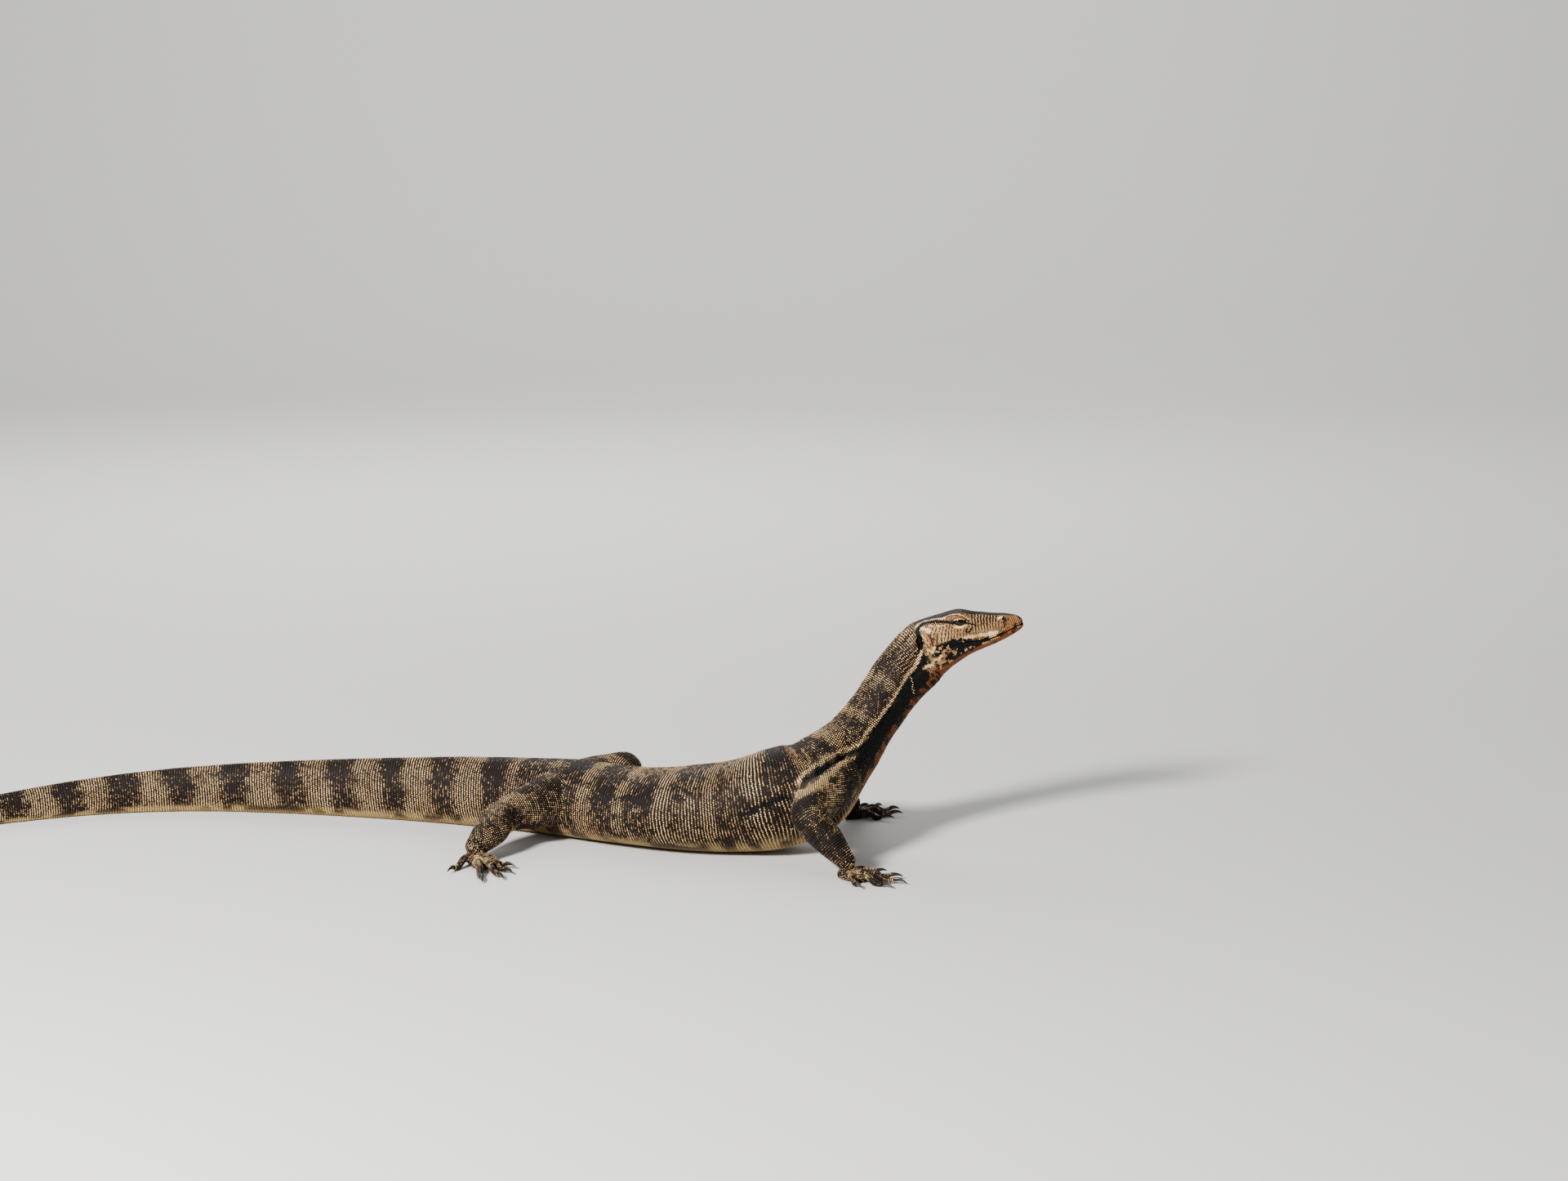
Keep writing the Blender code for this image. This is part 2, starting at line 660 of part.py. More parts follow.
def build_foot(limb, ankle_ring, ankle_radius, parts, cutters):
    """The foot as one piece: the ball of the ankle, the flat sole and five digits."""
    frame = foot_frame(limb)
    ahead = Vector(np.cross(ankle_ring[1] - ankle_ring[0], ankle_ring[2] - ankle_ring[1]))
    ahead.normalize()
    wide = (Vector(ankle_ring[0]) - limb.ankle).normalized()
    turn = Matrix((wide, ahead.cross(wide), ahead)).transposed().to_4x4()
    name = f"{limb.name}_{limb.foot}"
    foot = ellipsoid(name, limb.ankle, [ankle_radius] * 3, turn, parts, LIMB_SIDES)
    forward, half_widths, half_heights = zip(*SOLES[limb.foot])
    path = [frame @ Vector((x, 0, h - FLOOR_SINK)) for x, h in zip(forward, half_heights)]
    sole = swept_rings(path, half_widths, half_heights, np.array(frame.col[1][:3]), SOLE_SIDES)
    pieces = [mesh_from_rings("sole", sole, cutters)]
    for digit in DIGITS[limb.foot]:
        path, radii = digit_path(limb, digit)
        rings = swept_rings(path, radii, radii, np.array((0.0, 0.0, 1.0)), DIGIT_SIDES)
        pieces.append(mesh_from_rings("digit", rings, cutters))
    unite(foot, pieces)
    return foot


def digit_path(limb, digit):
    """The middle line of a digit from inside the foot to its tip, and its radii."""
    frame = foot_frame(limb)
    turn = math.radians(digit.spread)
    shares, heights, thickness = zip(*DIGIT_SHAPE)
    at = np.linspace(0, 1, DIGIT_RINGS)
    shape = curve_through(shares, np.column_stack([heights, thickness]), at)
    path = []
    for share, height in zip(at, shape[:, 0]):
        reach = digit.length * share
        place = Vector((digit.forward + reach * math.cos(turn),
                        digit.outward + reach * math.sin(turn), height))
        path.append(np.array(frame @ place))
    return np.array(path), digit.radius * shape[:, 1]


def build_claw(name, limb, digit, parts):
    """A hooked claw that starts a gap beyond the flat end of its digit."""
    path, radii = digit_path(limb, digit)
    forward = path[-1] - path[-2]
    forward /= np.linalg.norm(forward)
    side = np.cross((0.0, 0.0, 1.0), forward)
    side /= np.linalg.norm(side)
    upward = np.cross(forward, side)
    bend = math.radians(CLAW_BEND)
    share = np.linspace(0, 1, CLAW_RINGS)
    radius_of_bend = CLAW_LENGTH / bend
    centres = (
        path[-1] + forward * GAP
        + np.outer(np.sin(share * bend) * radius_of_bend, forward)
        - np.outer((1 - np.cos(share * bend)) * radius_of_bend, upward)
    )
    base = radii[-1] * 0.92
    heights = CLAW_TIP + (base - CLAW_TIP) * (1 - share**1.3)
    angle = np.linspace(0, 2 * math.pi, CLAW_SIDES, endpoint=False)
    rings = []
    for centre, turn, height in zip(centres, share * bend, heights):
        tall = upward * math.cos(turn) + forward * math.sin(turn)
        rings.append(centre + np.outer(np.cos(angle) * height, tall)
                     + np.outer(np.sin(angle) * height * CLAW_THICKNESS, side))
    return mesh_from_rings(name, rings, parts)


def main():
    """Build every node of the animal."""
    clear_scene()
    parts = new_collection("water_monitor")
    cutters = new_collection("cutters", hidden=True)
    hide = finish("hide", (0.10, 0.085, 0.065), 0.55)
    horn = finish("horn", (0.03, 0.025, 0.02), 0.35)
    eye_gloss = finish("eye", (0.02, 0.015, 0.01), 0.08)
    spine = Spine()
    floor = block("floor_cut", (-2, -1, -0.1), (1, 1, 0), cutters)

    head, jaw, eyes = build_head(spine, parts, cutters)
    lengths = [
        ("neck", NAPE, spine.neck_base, 0.0095, BODY_SIDES),
        ("torso", spine.neck_base, spine.vent, 0.0120, BODY_SIDES),
    ]
    cuts = [spine.vent] + [spine.vent + cut for cut in TAIL_CUTS] + [spine.length]
    for name, start, end, spacing, sides in zip(
        ("tail_root", "tail_middle", "tail_tip"), cuts, cuts[1:],
        (0.014, 0.018, 0.020), (BODY_SIDES, 18, 14)
    ):
        lengths.append((name, start, end, spacing, sides))
    hull_rings = []
    for name, start, end, spacing, sides in lengths:
        piece = spine_piece(name, spine, start, end, spacing, sides, parts)
        carve(piece, floor, solver="EXACT")
        dress(piece, hide)
        if sides == BODY_SIDES:
            count = max(2, round((end - start) / spacing)) + 1
            along = np.linspace(start + GAP / 2, end - GAP / 2, count)
            hull_rings.extend(spine.rings(along, sides, swell=GAP))
    hull = mesh_from_rings("hull", hull_rings, cutters)
    for piece in (head, jaw):
        dress(piece, hide)
    for eye in eyes:
        dress(eye, eye_gloss)
    for limb in LIMBS:
        build_limb(limb, hull, floor, parts, cutters, hide, horn)
    for cutter in cutters.objects:
        cutter.hide_render = True
        cutter.display_type = "WIRE"


main()
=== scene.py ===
"""Water monitor lizard: its skin, coat of scales, eyes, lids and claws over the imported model.

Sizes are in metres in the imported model's frame: the origin is on the floor under the belly, +X
runs towards the head, +Y to the animal's left and +Z up. Places on the trunk are given as a
distance along the spine from the snout and an angle round it, which is 0 on the back.
"""

from __future__ import annotations

import logging
import math
from dataclasses import dataclass, field, replace
from enum import Enum
from typing import NamedTuple

import bmesh
import bpy
import numpy as np
from bpy.types import Material, Mesh, Node, NodeSocket, NodeTree, Object, bpy_prop_collection
from mathutils import Matrix, Vector
from mathutils.bvhtree import BVHTree
from mathutils.kdtree import KDTree

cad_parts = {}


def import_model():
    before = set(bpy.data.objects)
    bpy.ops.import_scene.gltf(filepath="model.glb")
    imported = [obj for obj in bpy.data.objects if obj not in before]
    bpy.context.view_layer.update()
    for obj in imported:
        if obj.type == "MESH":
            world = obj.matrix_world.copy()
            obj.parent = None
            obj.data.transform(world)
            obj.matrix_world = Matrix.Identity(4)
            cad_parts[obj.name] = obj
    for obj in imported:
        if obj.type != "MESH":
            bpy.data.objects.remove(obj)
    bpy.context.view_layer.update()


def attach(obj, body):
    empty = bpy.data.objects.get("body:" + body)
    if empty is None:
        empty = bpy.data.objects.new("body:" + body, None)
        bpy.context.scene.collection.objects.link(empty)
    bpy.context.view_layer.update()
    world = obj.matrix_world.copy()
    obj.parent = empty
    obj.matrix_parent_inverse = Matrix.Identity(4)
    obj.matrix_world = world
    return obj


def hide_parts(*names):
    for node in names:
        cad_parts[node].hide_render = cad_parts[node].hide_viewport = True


LOG = logging.getLogger("water_monitor")
Array = np.ndarray

SNOUT_TIP = Vector((0.328, 0.050, 0.217))
HEAD_PITCH = 13.5
HEAD_YAW = 5.7
HEAD_LENGTH = 0.103
NAPE = 0.117
HEAD_SQUARENESS = 2.5
BODY_SQUARENESS = 2.15
SQUARENESS_FADE = 0.05
TAIL_LENGTH = 0.92
TAIL_ROOT_HEIGHT = 0.074
TAIL_TIP_HEIGHT = 0.0042
TAIL_WIDTH = 0.038
TAIL_FLARE = 0.034
TAIL_FLARE_LENGTH = 0.075
TAIL_KEEL = 0.10
TAIL_KEEL_START = 0.08
TAIL_KEEL_WIDTH = 0.4
TAIL_HEADINGS = ((0.0, 22.0), (0.12, 17.0), (0.30, 8.0), (0.62, -32.0), (0.92, -6.0))
FLOOR_SINK = 0.0008
EYE_BACK = 0.0632
EYE_RISE = 0.0202
EYE_SIDE = 0.0122
EYE_RADIUS = 0.0068
LID_TILT = 11.0
LID_HALF_LENGTH = 0.0064
LID_HALF_HEIGHT = 0.0031
NOSTRIL_BACK = 0.0185
NOSTRIL_RISE = 0.0112
COAT_DEPTH = 0.0004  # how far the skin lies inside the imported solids
SKIN_FLOOR = 0.0007  # height of the skin where it rests on the floor, under its scales
SCALE_FLOOR = 0.00005
RAY_START = 0.05  # how far beside the skull's axis a ray at the head starts
HEAD_ARC = 0.38  # millimetres of hide in a degree round the head
NECK_ARC = 0.48
ARM_ARC = 0.40


class Section(NamedTuple):
    """One cross-section of the trunk: its centre, and how far it reaches each way."""

    x: float
    y: float
    z: float
    half_width: float
    up: float
    down: float


class Profile(NamedTuple):
    """One cross-section of the head, at a distance back from the tip of the snout."""

    back: float
    half_width: float
    up: float
    down: float


class Relief(NamedTuple):
    """A swelling or hollow on both sides of the head."""

    back: float
    rise: float
    length: float
    tall: float
    height: float


class Digit(NamedTuple):
    """A finger or toe, placed on the foot's own forward and outward axes."""

    forward: float
    outward: float
    spread: float
    length: float
    radius: float


HEAD_PROFILES = (
    Profile(0.0000, 0.0040, 0.0045, 0.0028),
    Profile(0.0030, 0.0076, 0.0086, 0.0050),
    Profile(0.0090, 0.0102, 0.0117, 0.0074),
    Profile(0.0200, 0.0122, 0.0156, 0.0106),
    Profile(0.0330, 0.0142, 0.0192, 0.0132),
    Profile(0.0450, 0.0168, 0.0238, 0.0148),
    Profile(0.0580, 0.0200, 0.0282, 0.0168),
    Profile(0.0700, 0.0222, 0.0293, 0.0208),
    Profile(0.0850, 0.0246, 0.0293, 0.0268),
    Profile(0.1000, 0.0254, 0.0282, 0.0328),
)
BODY_SECTIONS = (
    Section(0.2145, 0.0360, 0.1770, 0.0246, 0.0284, 0.0330),
    Section(0.2010, 0.0320, 0.1596, 0.0250, 0.0290, 0.0300),
    Section(0.1831, 0.0250, 0.1346, 0.0262, 0.0278, 0.0280),
    Section(0.1701, 0.0190, 0.1183, 0.0280, 0.0282, 0.0288),
    Section(0.1587, 0.0120, 0.1032, 0.0310, 0.0310, 0.0315),
    Section(0.1400, 0.0000, 0.0860, 0.0375, 0.0370, 0.0375),
    Section(0.1180, -0.0120, 0.0650, 0.0450, 0.0475, 0.0460),
    Section(0.0814, -0.0180, 0.0535, 0.0515, 0.0490, 0.0500),
    Section(0.0407, -0.0100, 0.0440, 0.0570, 0.0445, 0.0450),
    Section(0.0000, 0.0000, 0.0400, 0.0600, 0.0410, 0.0415),
    Section(-0.0407, 0.0160, 0.0370, 0.0595, 0.0375, 0.0380),
    Section(-0.0814, 0.0330, 0.0365, 0.0540, 0.0370, 0.0374),
    Section(-0.1220, 0.0500, 0.0378, 0.0450, 0.0382, 0.0386),
    Section(-0.1550, 0.0640, 0.0370, 0.0372, 0.0372, 0.0378),
)
HEAD_RELIEFS = (
    Relief(0.0630, 0.0262, 0.0130, 0.0030, 0.0020),
    Relief(0.0620, 0.0185, 0.0120, 0.0055, -0.0012),
    Relief(0.0420, 0.0185, 0.0150, 0.0030, 0.0011),
    Relief(0.0430, 0.0095, 0.0140, 0.0045, -0.0015),
    Relief(0.0860, 0.0060, 0.0150, 0.0110, 0.0020),
    Relief(0.0880, 0.0225, 0.0120, 0.0035, -0.0012),
    Relief(0.0185, 0.0112, 0.0045, 0.0035, 0.0008),
    Relief(0.0400, -0.0012, 0.0300, 0.0022, 0.0007),
)
MOUTH_LINE = (
    (-0.0100, 0.0014), (0.0000, 0.0012), (0.0080, 0.0002), (0.0140, -0.0010), (0.0228, -0.0032),
    (0.0320, -0.0044), (0.0400, -0.0041), (0.0508, -0.0022), (0.0604, -0.0006), (0.0718, 0.0002),
    (0.0790, -0.0014),
)
LIMB_RADII = {
    "hand": (0.0300, 0.0245, 0.0172, 0.0155, 0.0098),
    "foot": (0.0270, 0.0235, 0.0170, 0.0165, 0.0108),
}
SOLES = {
    "hand": ((-0.007, 0.0045, 0.0035), (-0.002, 0.0090, 0.0064), (0.007, 0.0118, 0.0066),
             (0.016, 0.0118, 0.0056), (0.023, 0.0070, 0.0036)),
    "foot": ((-0.011, 0.0050, 0.0040), (-0.004, 0.0096, 0.0072), (0.010, 0.0122, 0.0070),
             (0.022, 0.0120, 0.0060), (0.030, 0.0072, 0.0038)),
}
DIGITS = {
    "hand": (
        Digit(0.005, -0.0070, -50.0, 0.024, 0.0036),
        Digit(0.013, -0.0060, -25.0, 0.029, 0.0038),
        Digit(0.016, -0.0010, -5.0, 0.034, 0.0040),
        Digit(0.014, 0.0050, 15.0, 0.033, 0.0040),
        Digit(0.006, 0.0070, 46.0, 0.025, 0.0036),
    ),
    "foot": (
        Digit(0.010, -0.0070, -38.0, 0.025, 0.0038),
        Digit(0.018, -0.0060, -21.0, 0.033, 0.0040),
        Digit(0.021, -0.0020, -7.0, 0.044, 0.0042),
        Digit(0.020, 0.0040, 9.0, 0.051, 0.0044),
        Digit(0.004, 0.0070, 44.0, 0.032, 0.0040),
    ),
}
DIGIT_SHAPE = ((0.0, 0.0070, 1.00), (0.35, 0.0084, 0.94), (0.78, 0.0026, 0.80), (1.0, 0.0043, 0.64))
CLAW_LENGTH = 0.0125
CLAW_BEND = 52.0
CLAW_THICKNESS = 0.62
CLAW_TIP = 0.00045
CLAW_GAP = 0.0003


class Tone(Enum):
    """The colours painted on the hide, both its own and its painted shade, highlights and reflected light, as
    linear red, green and blue.
    """

    BLACK = (0.0045, 0.0036, 0.0032)
    BROWN = (0.030, 0.014, 0.007)
    TAN = (0.40, 0.19, 0.075)
    CREAM = (0.84, 0.58, 0.29)
    WHITE = (0.90, 0.73, 0.48)
    ORANGE = (0.34, 0.105, 0.025)
    BELLY = (0.66, 0.46, 0.22)


BLACK, BROWN, TAN, CREAM, WHITE, ORANGE, BELLY = (np.array(choice.value) for choice in Tone)


def curve_through(knots, rows, at) -> Array:
    """Read a smooth curve through given rows.

    Args:
        knots: Where each row stands.
        rows: The values at the knots.
        at: Where the curve is read.

    Returns:
        One row of values for each place in at.
    """
    knots, rows, at = (np.asarray(values, float) for values in (knots, rows, at))
    slopes = np.gradient(rows, knots, axis=0)
    before = np.clip(np.searchsorted(knots, at) - 1, 0, len(knots) - 2)
    step = (knots[before + 1] - knots[before])[:, None]
    t = (at - knots[before])[:, None] / step
    rows = rows.reshape(len(knots), -1)
    slopes = slopes.reshape(len(knots), -1)
    return (
        (1 + 2 * t) * (1 - t) ** 2 * rows[before]
        + t * (1 - t) ** 2 * step * slopes[before]
        + t * t * (3 - 2 * t) * rows[before + 1]
        + t * t * (t - 1) * step * slopes[before + 1]
    )


def unit(vectors: Array) -> Array:
    """Return the vectors at length 1."""
    return vectors / np.maximum(np.linalg.norm(vectors, axis=-1, keepdims=True), 1e-12)


def ease(low: float, high: float, values: Array) -> Array:
    """Return values eased from 0 at low to 1 at high."""
    t = np.clip((values - low) / (high - low), 0, 1)
    return t * t * (3 - 2 * t)


def mix(first: Array, second: Array, share: Array) -> Array:
    """Return colours mixed from the first to the second by a share for each point."""
    share = np.clip(share, 0, 1)[:, None]
    return first * (1 - share) + second * share


def noise(points: Array, cell: float, seed: int = 0) -> Array:
    """Return smooth noise between 0 and 1.

    Args:
        points: Places, as an array of any width.
        cell: Size of the noise's cells, in the points' own unit.
        seed: Picks one noise among many.

    Returns:
        One value for each point.
    """
    places = np.asarray(points, float) / cell
    base = np.floor(places).astype(np.int64)
    share = places - base
    share = share * share * (3 - 2 * share)
    width = places.shape[1]
    primes = np.array((73856093, 19349663, 83492791, 49979687))[:width]
    total = np.zeros(len(places))
    for corner in range(2**width):
        step = np.array([corner >> i & 1 for i in range(width)])
        key = ((base + step) * primes).sum(axis=1) + seed * 7919
        key = (key ^ (key >> 13)) * 1274126177 & 0x7FFFFFFF
        value = ((key ^ (key >> 16)) % 10007) / 10007
        total += value * np.prod(np.where(step, share, 1 - share), axis=1)
    return total


def head_frame() -> Matrix:
    """Return the skull's frame: +X forward from the tip of the snout, +Y left and +Z up."""
    turn = Matrix.Rotation(math.radians(HEAD_YAW), 4, "Z")
    tilt = Matrix.Rotation(math.radians(-HEAD_PITCH), 4, "Y")
    return Matrix.Translation(SNOUT_TIP) @ turn @ tilt


def placed(points: Array, frame: Matrix) -> Array:
    """Return points moved from a frame's own axes to the scene's."""
    turned = np.array(frame)
    return points @ turned[:3, :3].T + turned[:3, 3]


def in_head(points: Array) -> Array:
    """Return points as distances back, to the left and above the skull's axis."""
    local = placed(points, head_frame().inverted())
    return columns(-local[:, 0], local[:, 1], local[:, 2])


def from_head(back: Array, left: Array, rise: Array) -> Array:
    """Return the points at distances back, to the left and above the skull's axis."""
    return placed(columns(-back, left, rise), head_frame())


def head_way(*way: float) -> Vector:
    """Return a direction that is given on the skull's own axes."""
    return head_frame().to_3x3() @ Vector(way)


def columns(*values: Array | float) -> Array:
    """Return lists of numbers side by side; one number stands for a whole list."""
    return np.column_stack(np.broadcast_arrays(*values))


def whole_turn(count: int) -> Array:
    """Return angles spread evenly over a whole turn."""
    return np.linspace(0, math.tau, count, endpoint=False)


def run_along(path: Array) -> Array:
    """Return the distance run along a path at each of its points."""
    return np.concatenate([[0], np.cumsum(np.linalg.norm(np.diff(path, axis=0), axis=1))])


def read_path(reach: float, run: Array, rows: Array) -> Array:
    """Return the row of values at a distance along a path."""
    return np.array([np.interp(reach, run, column) for column in rows.T])


def search_tree(places: Array) -> KDTree:
    """Return a tree that finds the nearest of many places."""
    tree = KDTree(len(places))
    for i, place in enumerate(places.tolist()):
        tree.insert(place, i)
    tree.balance()
    return tree


def ring_faces(rings: int, sides: int, closed: bool = False) -> list:
    """Return the faces between rings of points, and from the last to the first if closed."""
    faces = []
    for ring in range(rings if closed else rings - 1):
        low, high = ring * sides, (ring + 1) % rings * sides
        faces += [(low + i, low + (i + 1) % sides, high + (i + 1) % sides, high + i)
                  for i in range(sides)]
    return faces


def loft(rings: Array) -> tuple[Array, list]:
    """Close a tube over rings of points.

    Args:
        rings: Points as ring, place round the ring, and X, Y, Z.

    Returns:
        The points as one list, and the faces.
    """
    count, sides = rings.shape[:2]
    faces = ring_faces(count, sides)
    faces.append(tuple(range(sides))[::-1])
    faces.append(tuple(range((count - 1) * sides, count * sides)))
    return rings.reshape(-1, 3), faces


def swept(path, half_widths, half_heights, flat_way, sides: int, soften: int = 0) -> Array:
    """Sweep an ellipse along a path.

    Args:
        path: The middle line.
        half_widths: Reach along flat_way at each point of the path.
        half_heights: Reach square to it.
        flat_way: The direction in which the half widths are measured.
        sides: Points in each ring.
        soften: Neighbours each way that share in a ring's direction.

    Returns:
        Rings of points.
    """
    forward = unit(np.gradient(np.asarray(path, float), axis=0))
    if soften:
        padded = np.pad(forward, ((soften, soften), (0, 0)), mode="edge")
        forward = unit(sum(padded[i:i + len(path)] for i in range(2 * soften + 1)))
    wide = unit(flat_way - forward * (forward @ flat_way)[:, None])
    tall = np.cross(forward, wide)
    angle = whole_turn(sides)
    return (np.asarray(path)[:, None]
            + wide[:, None] * (np.cos(angle)[None] * np.asarray(half_widths)[:, None])[..., None]
            + tall[:, None] * (np.sin(angle)[None] * np.asarray(half_heights)[:, None])[..., None])


def add_object(name: str, data: bpy.types.ID) -> Object:
    """Add an object to the scene."""
    made = bpy.data.objects.new(name, data)
    bpy.context.scene.collection.objects.link(made)
    return made


def points_inwards(points: Array, corners: Array) -> bool:
    """Return True if most of a closed form's faces, given by three corners each, point in."""
    a, b, c = (points[corners[:, i]] - points.mean(axis=0) for i in range(3))
    return np.einsum("ij,ij->", a, np.cross(b, c)) < 0


def mesh_object(name: str, points: Array, faces: list) -> Object:
    """Make an object of points and faces, and turn its faces outwards if they point in."""
    mesh = bpy.data.meshes.new(name)
    mesh.from_pydata(np.asarray(points).tolist(), [], faces)
    mesh.update()
    made = add_object(name, mesh)
    if points_inwards(*mesh_arrays(mesh)):
        mesh.flip_normals()
    mesh.shade_smooth()
    return made


def rows_of(items: bpy_prop_collection, key: str, width: int, kind: type = float) -> Array:
    """Return one property of all a mesh's points, edges or other parts, in rows of a width."""
    values = np.empty(len(items) * width, kind)
    items.foreach_get(key, values)
    return values.reshape(-1, width)


def mesh_arrays(mesh: Mesh) -> tuple[Array, Array]:
    """Return a mesh's points and its triangles."""
    mesh.calc_loop_triangles()
    return rows_of(mesh.vertices, "co", 3), rows_of(mesh.loop_triangles, "vertices", 3, int)


def set_points(mesh: Mesh, co: Array) -> None:
    """Move a mesh's points to new places."""
    mesh.vertices.foreach_set("co", co.ravel())
    mesh.update()


def settle(source: Object) -> None:
    """Replace an object's mesh by its evaluated one, and drop its modifiers."""
    bpy.context.view_layer.update()
    graph = bpy.context.evaluated_depsgraph_get()
    result = bpy.data.meshes.new_from_object(source.evaluated_get(graph))
    source.modifiers.clear()
    old, source.data = source.data, result
    bpy.data.meshes.remove(old)


def feed(tree: NodeTree, node: Node, inputs: dict) -> None:
    """Join sockets to a node's inputs, where a node means its first output, or set plain values."""
    for key, source in inputs.items():
        if isinstance(source, Node):
            source = next(output for output in source.outputs if output.enabled)
        if isinstance(source, NodeSocket):
            tree.links.new(source, node.inputs[key])
        else:
            node.inputs[key].default_value = source


def add_node(tree: NodeTree, kind: str, inputs: dict | None = None, **options: str) -> Node:
    """Add a node to a tree.

    Args:
        tree: The tree.
        kind: Blender's name for the kind of node.
        inputs: Sockets or values for its inputs, by their names or numbers.
        **options: Values for the node's own options.

    Returns:
        The node.
    """
    node = tree.nodes.new(kind)
    for name, value in options.items():
        setattr(node, name, value)
    feed(tree, node, inputs or {})
    return node


def new_material(name: str) -> tuple[Material, NodeTree]:
    """Return a new material and its node tree."""
    made = bpy.data.materials.new(name)
    made.use_nodes = True
    return made, made.node_tree


@dataclass
class SpineForm:
    """The hide from the snout to the tip of the tail, as sections along one smooth line."""

    samples: int = 1600
    nudge: float = 0.02
    tail_steps: int = 24
    coarse_step: int = 12
    batch: int = 20000
    passes: int = 8
    damping: float = 0.7
    rows: Array = field(init=False)
    knots: Array = field(init=False)

    def __post_init__(self) -> None:
        """Work out the sections, and sample the line closely."""
        frame = head_frame()
        rows = [(*(frame @ Vector((-p.back, 0, 0))), p.half_width, p.up, p.down) for p in HEAD_PROFILES]
        rows += [tuple(s) for s in BODY_SECTIONS]
        rows += self._tail_rows(BODY_SECTIONS[-1])
        self.rows = np.array(rows)
        self.knots = run_along(self.rows[:, :3])
        self.length = self.knots[-1]
        self.vent = self.knots[len(HEAD_PROFILES) + len(BODY_SECTIONS) - 1]
        self.at = np.linspace(0, self.length, self.samples)
        read = curve_through(self.knots, self.rows, self.at)
        ahead = curve_through(self.knots, self.rows[:, :3], np.clip(self.at - self.nudge, 0, None))
        behind = curve_through(self.knots, self.rows[:, :3],
                               np.clip(self.at + self.nudge, 0, self.length))
        forward = unit(ahead - behind)
        left = unit(np.cross((0.0, 0.0, 1.0), forward))
        self.table = np.hstack([read, forward, left, np.cross(forward, left)])

    def _tail_rows(self, vent: Section) -> list:
        """Return the sections behind the vent."""
        reach = np.linspace(0, TAIL_LENGTH, self.tail_steps + 1)
        places, headings = zip(*TAIL_HEADINGS)
        heading = np.radians(curve_through(places, headings, (reach[1:] + reach[:-1]) / 2)[:, 0])
        x = vent.x - np.cumsum(np.cos(heading)) * TAIL_LENGTH / self.tail_steps
        y = vent.y + np.cumsum(np.sin(heading)) * TAIL_LENGTH / self.tail_steps
        rows = []
        for i in range(1, self.tail_steps):
            left = 1 - reach[i + 1] / TAIL_LENGTH
            flare = TAIL_FLARE * math.exp(-reach[i + 1] / TAIL_FLARE_LENGTH)
            width = TAIL_WIDTH * left + flare + TAIL_TIP_HEIGHT * 0.7
            height = TAIL_TIP_HEIGHT + (TAIL_ROOT_HEIGHT - TAIL_TIP_HEIGHT) * left
            rows.append((x[i], y[i], height / 2 - FLOOR_SINK, width / 2, height / 2, height / 2))
        return rows

    def read(self, along: Array) -> Array:
        """Return centre, reaches and directions at each distance along the spine."""
        place = np.clip(along, 0, self.length) / self.length * (self.samples - 1)
        low = np.clip(place.astype(int), 0, self.samples - 2)
        share = (place - low)[:, None]
        return self.table[low] * (1 - share) + self.table[low + 1] * share

    @staticmethod
    def squareness(along: Array) -> Array:
        """Return the exponent of the superellipse at each distance along the spine."""
        share = np.clip((along - HEAD_LENGTH) / SQUARENESS_FADE, 0, 1)
        return HEAD_SQUARENESS + (BODY_SQUARENESS - HEAD_SQUARENESS) * share

    def points(self, along: Array, angle: Array, swell: float = 0.0) -> Array:
        """Return points on the hide.

        Args:
            along: Distance from the snout of each point.
            angle: Angle round the spine of each point, 0 on the back, growing to the left.
            swell: Distance by which the hide is moved outwards.

        Returns:
            The points.
        """
        row = self.read(along)
        power = 2 / self.squareness(along)
        side, rise = np.sin(angle), np.cos(angle)
        reach = np.where(rise > 0, row[:, 4], row[:, 5])
        side = row[:, 3] * np.sign(side) * np.abs(side) ** power
        rise = reach * np.sign(rise) * np.abs(rise) ** power
        out = np.maximum(np.hypot(side, rise), 1e-9)
        push = np.zeros_like(side)
        for r in HEAD_RELIEFS:
            push += r.height * np.exp(-((along - r.back) / r.length) ** 2
                                      - ((rise - r.rise) / r.tall) ** 2)
        push *= np.clip(np.abs(side) / 0.006, 0, 1) * (along < NAPE)
        side, rise = side * (1 + push / out), rise * (1 + push / out)
        grown = np.clip((along - self.vent) / TAIL_KEEL_START, 0, 1)
        turn = np.abs((angle + math.pi) % math.tau - math.pi)
        rise = rise + TAIL_KEEL * row[:, 4] * grown * np.exp(-((turn / TAIL_KEEL_WIDTH) ** 2))
        out = np.maximum(np.hypot(side, rise), 1e-9)
        side, rise = side * (1 + swell / out), rise * (1 + swell / out)
        return row[:, :3] + side[:, None] * row[:, 9:12] + rise[:, None] * row[:, 12:15]

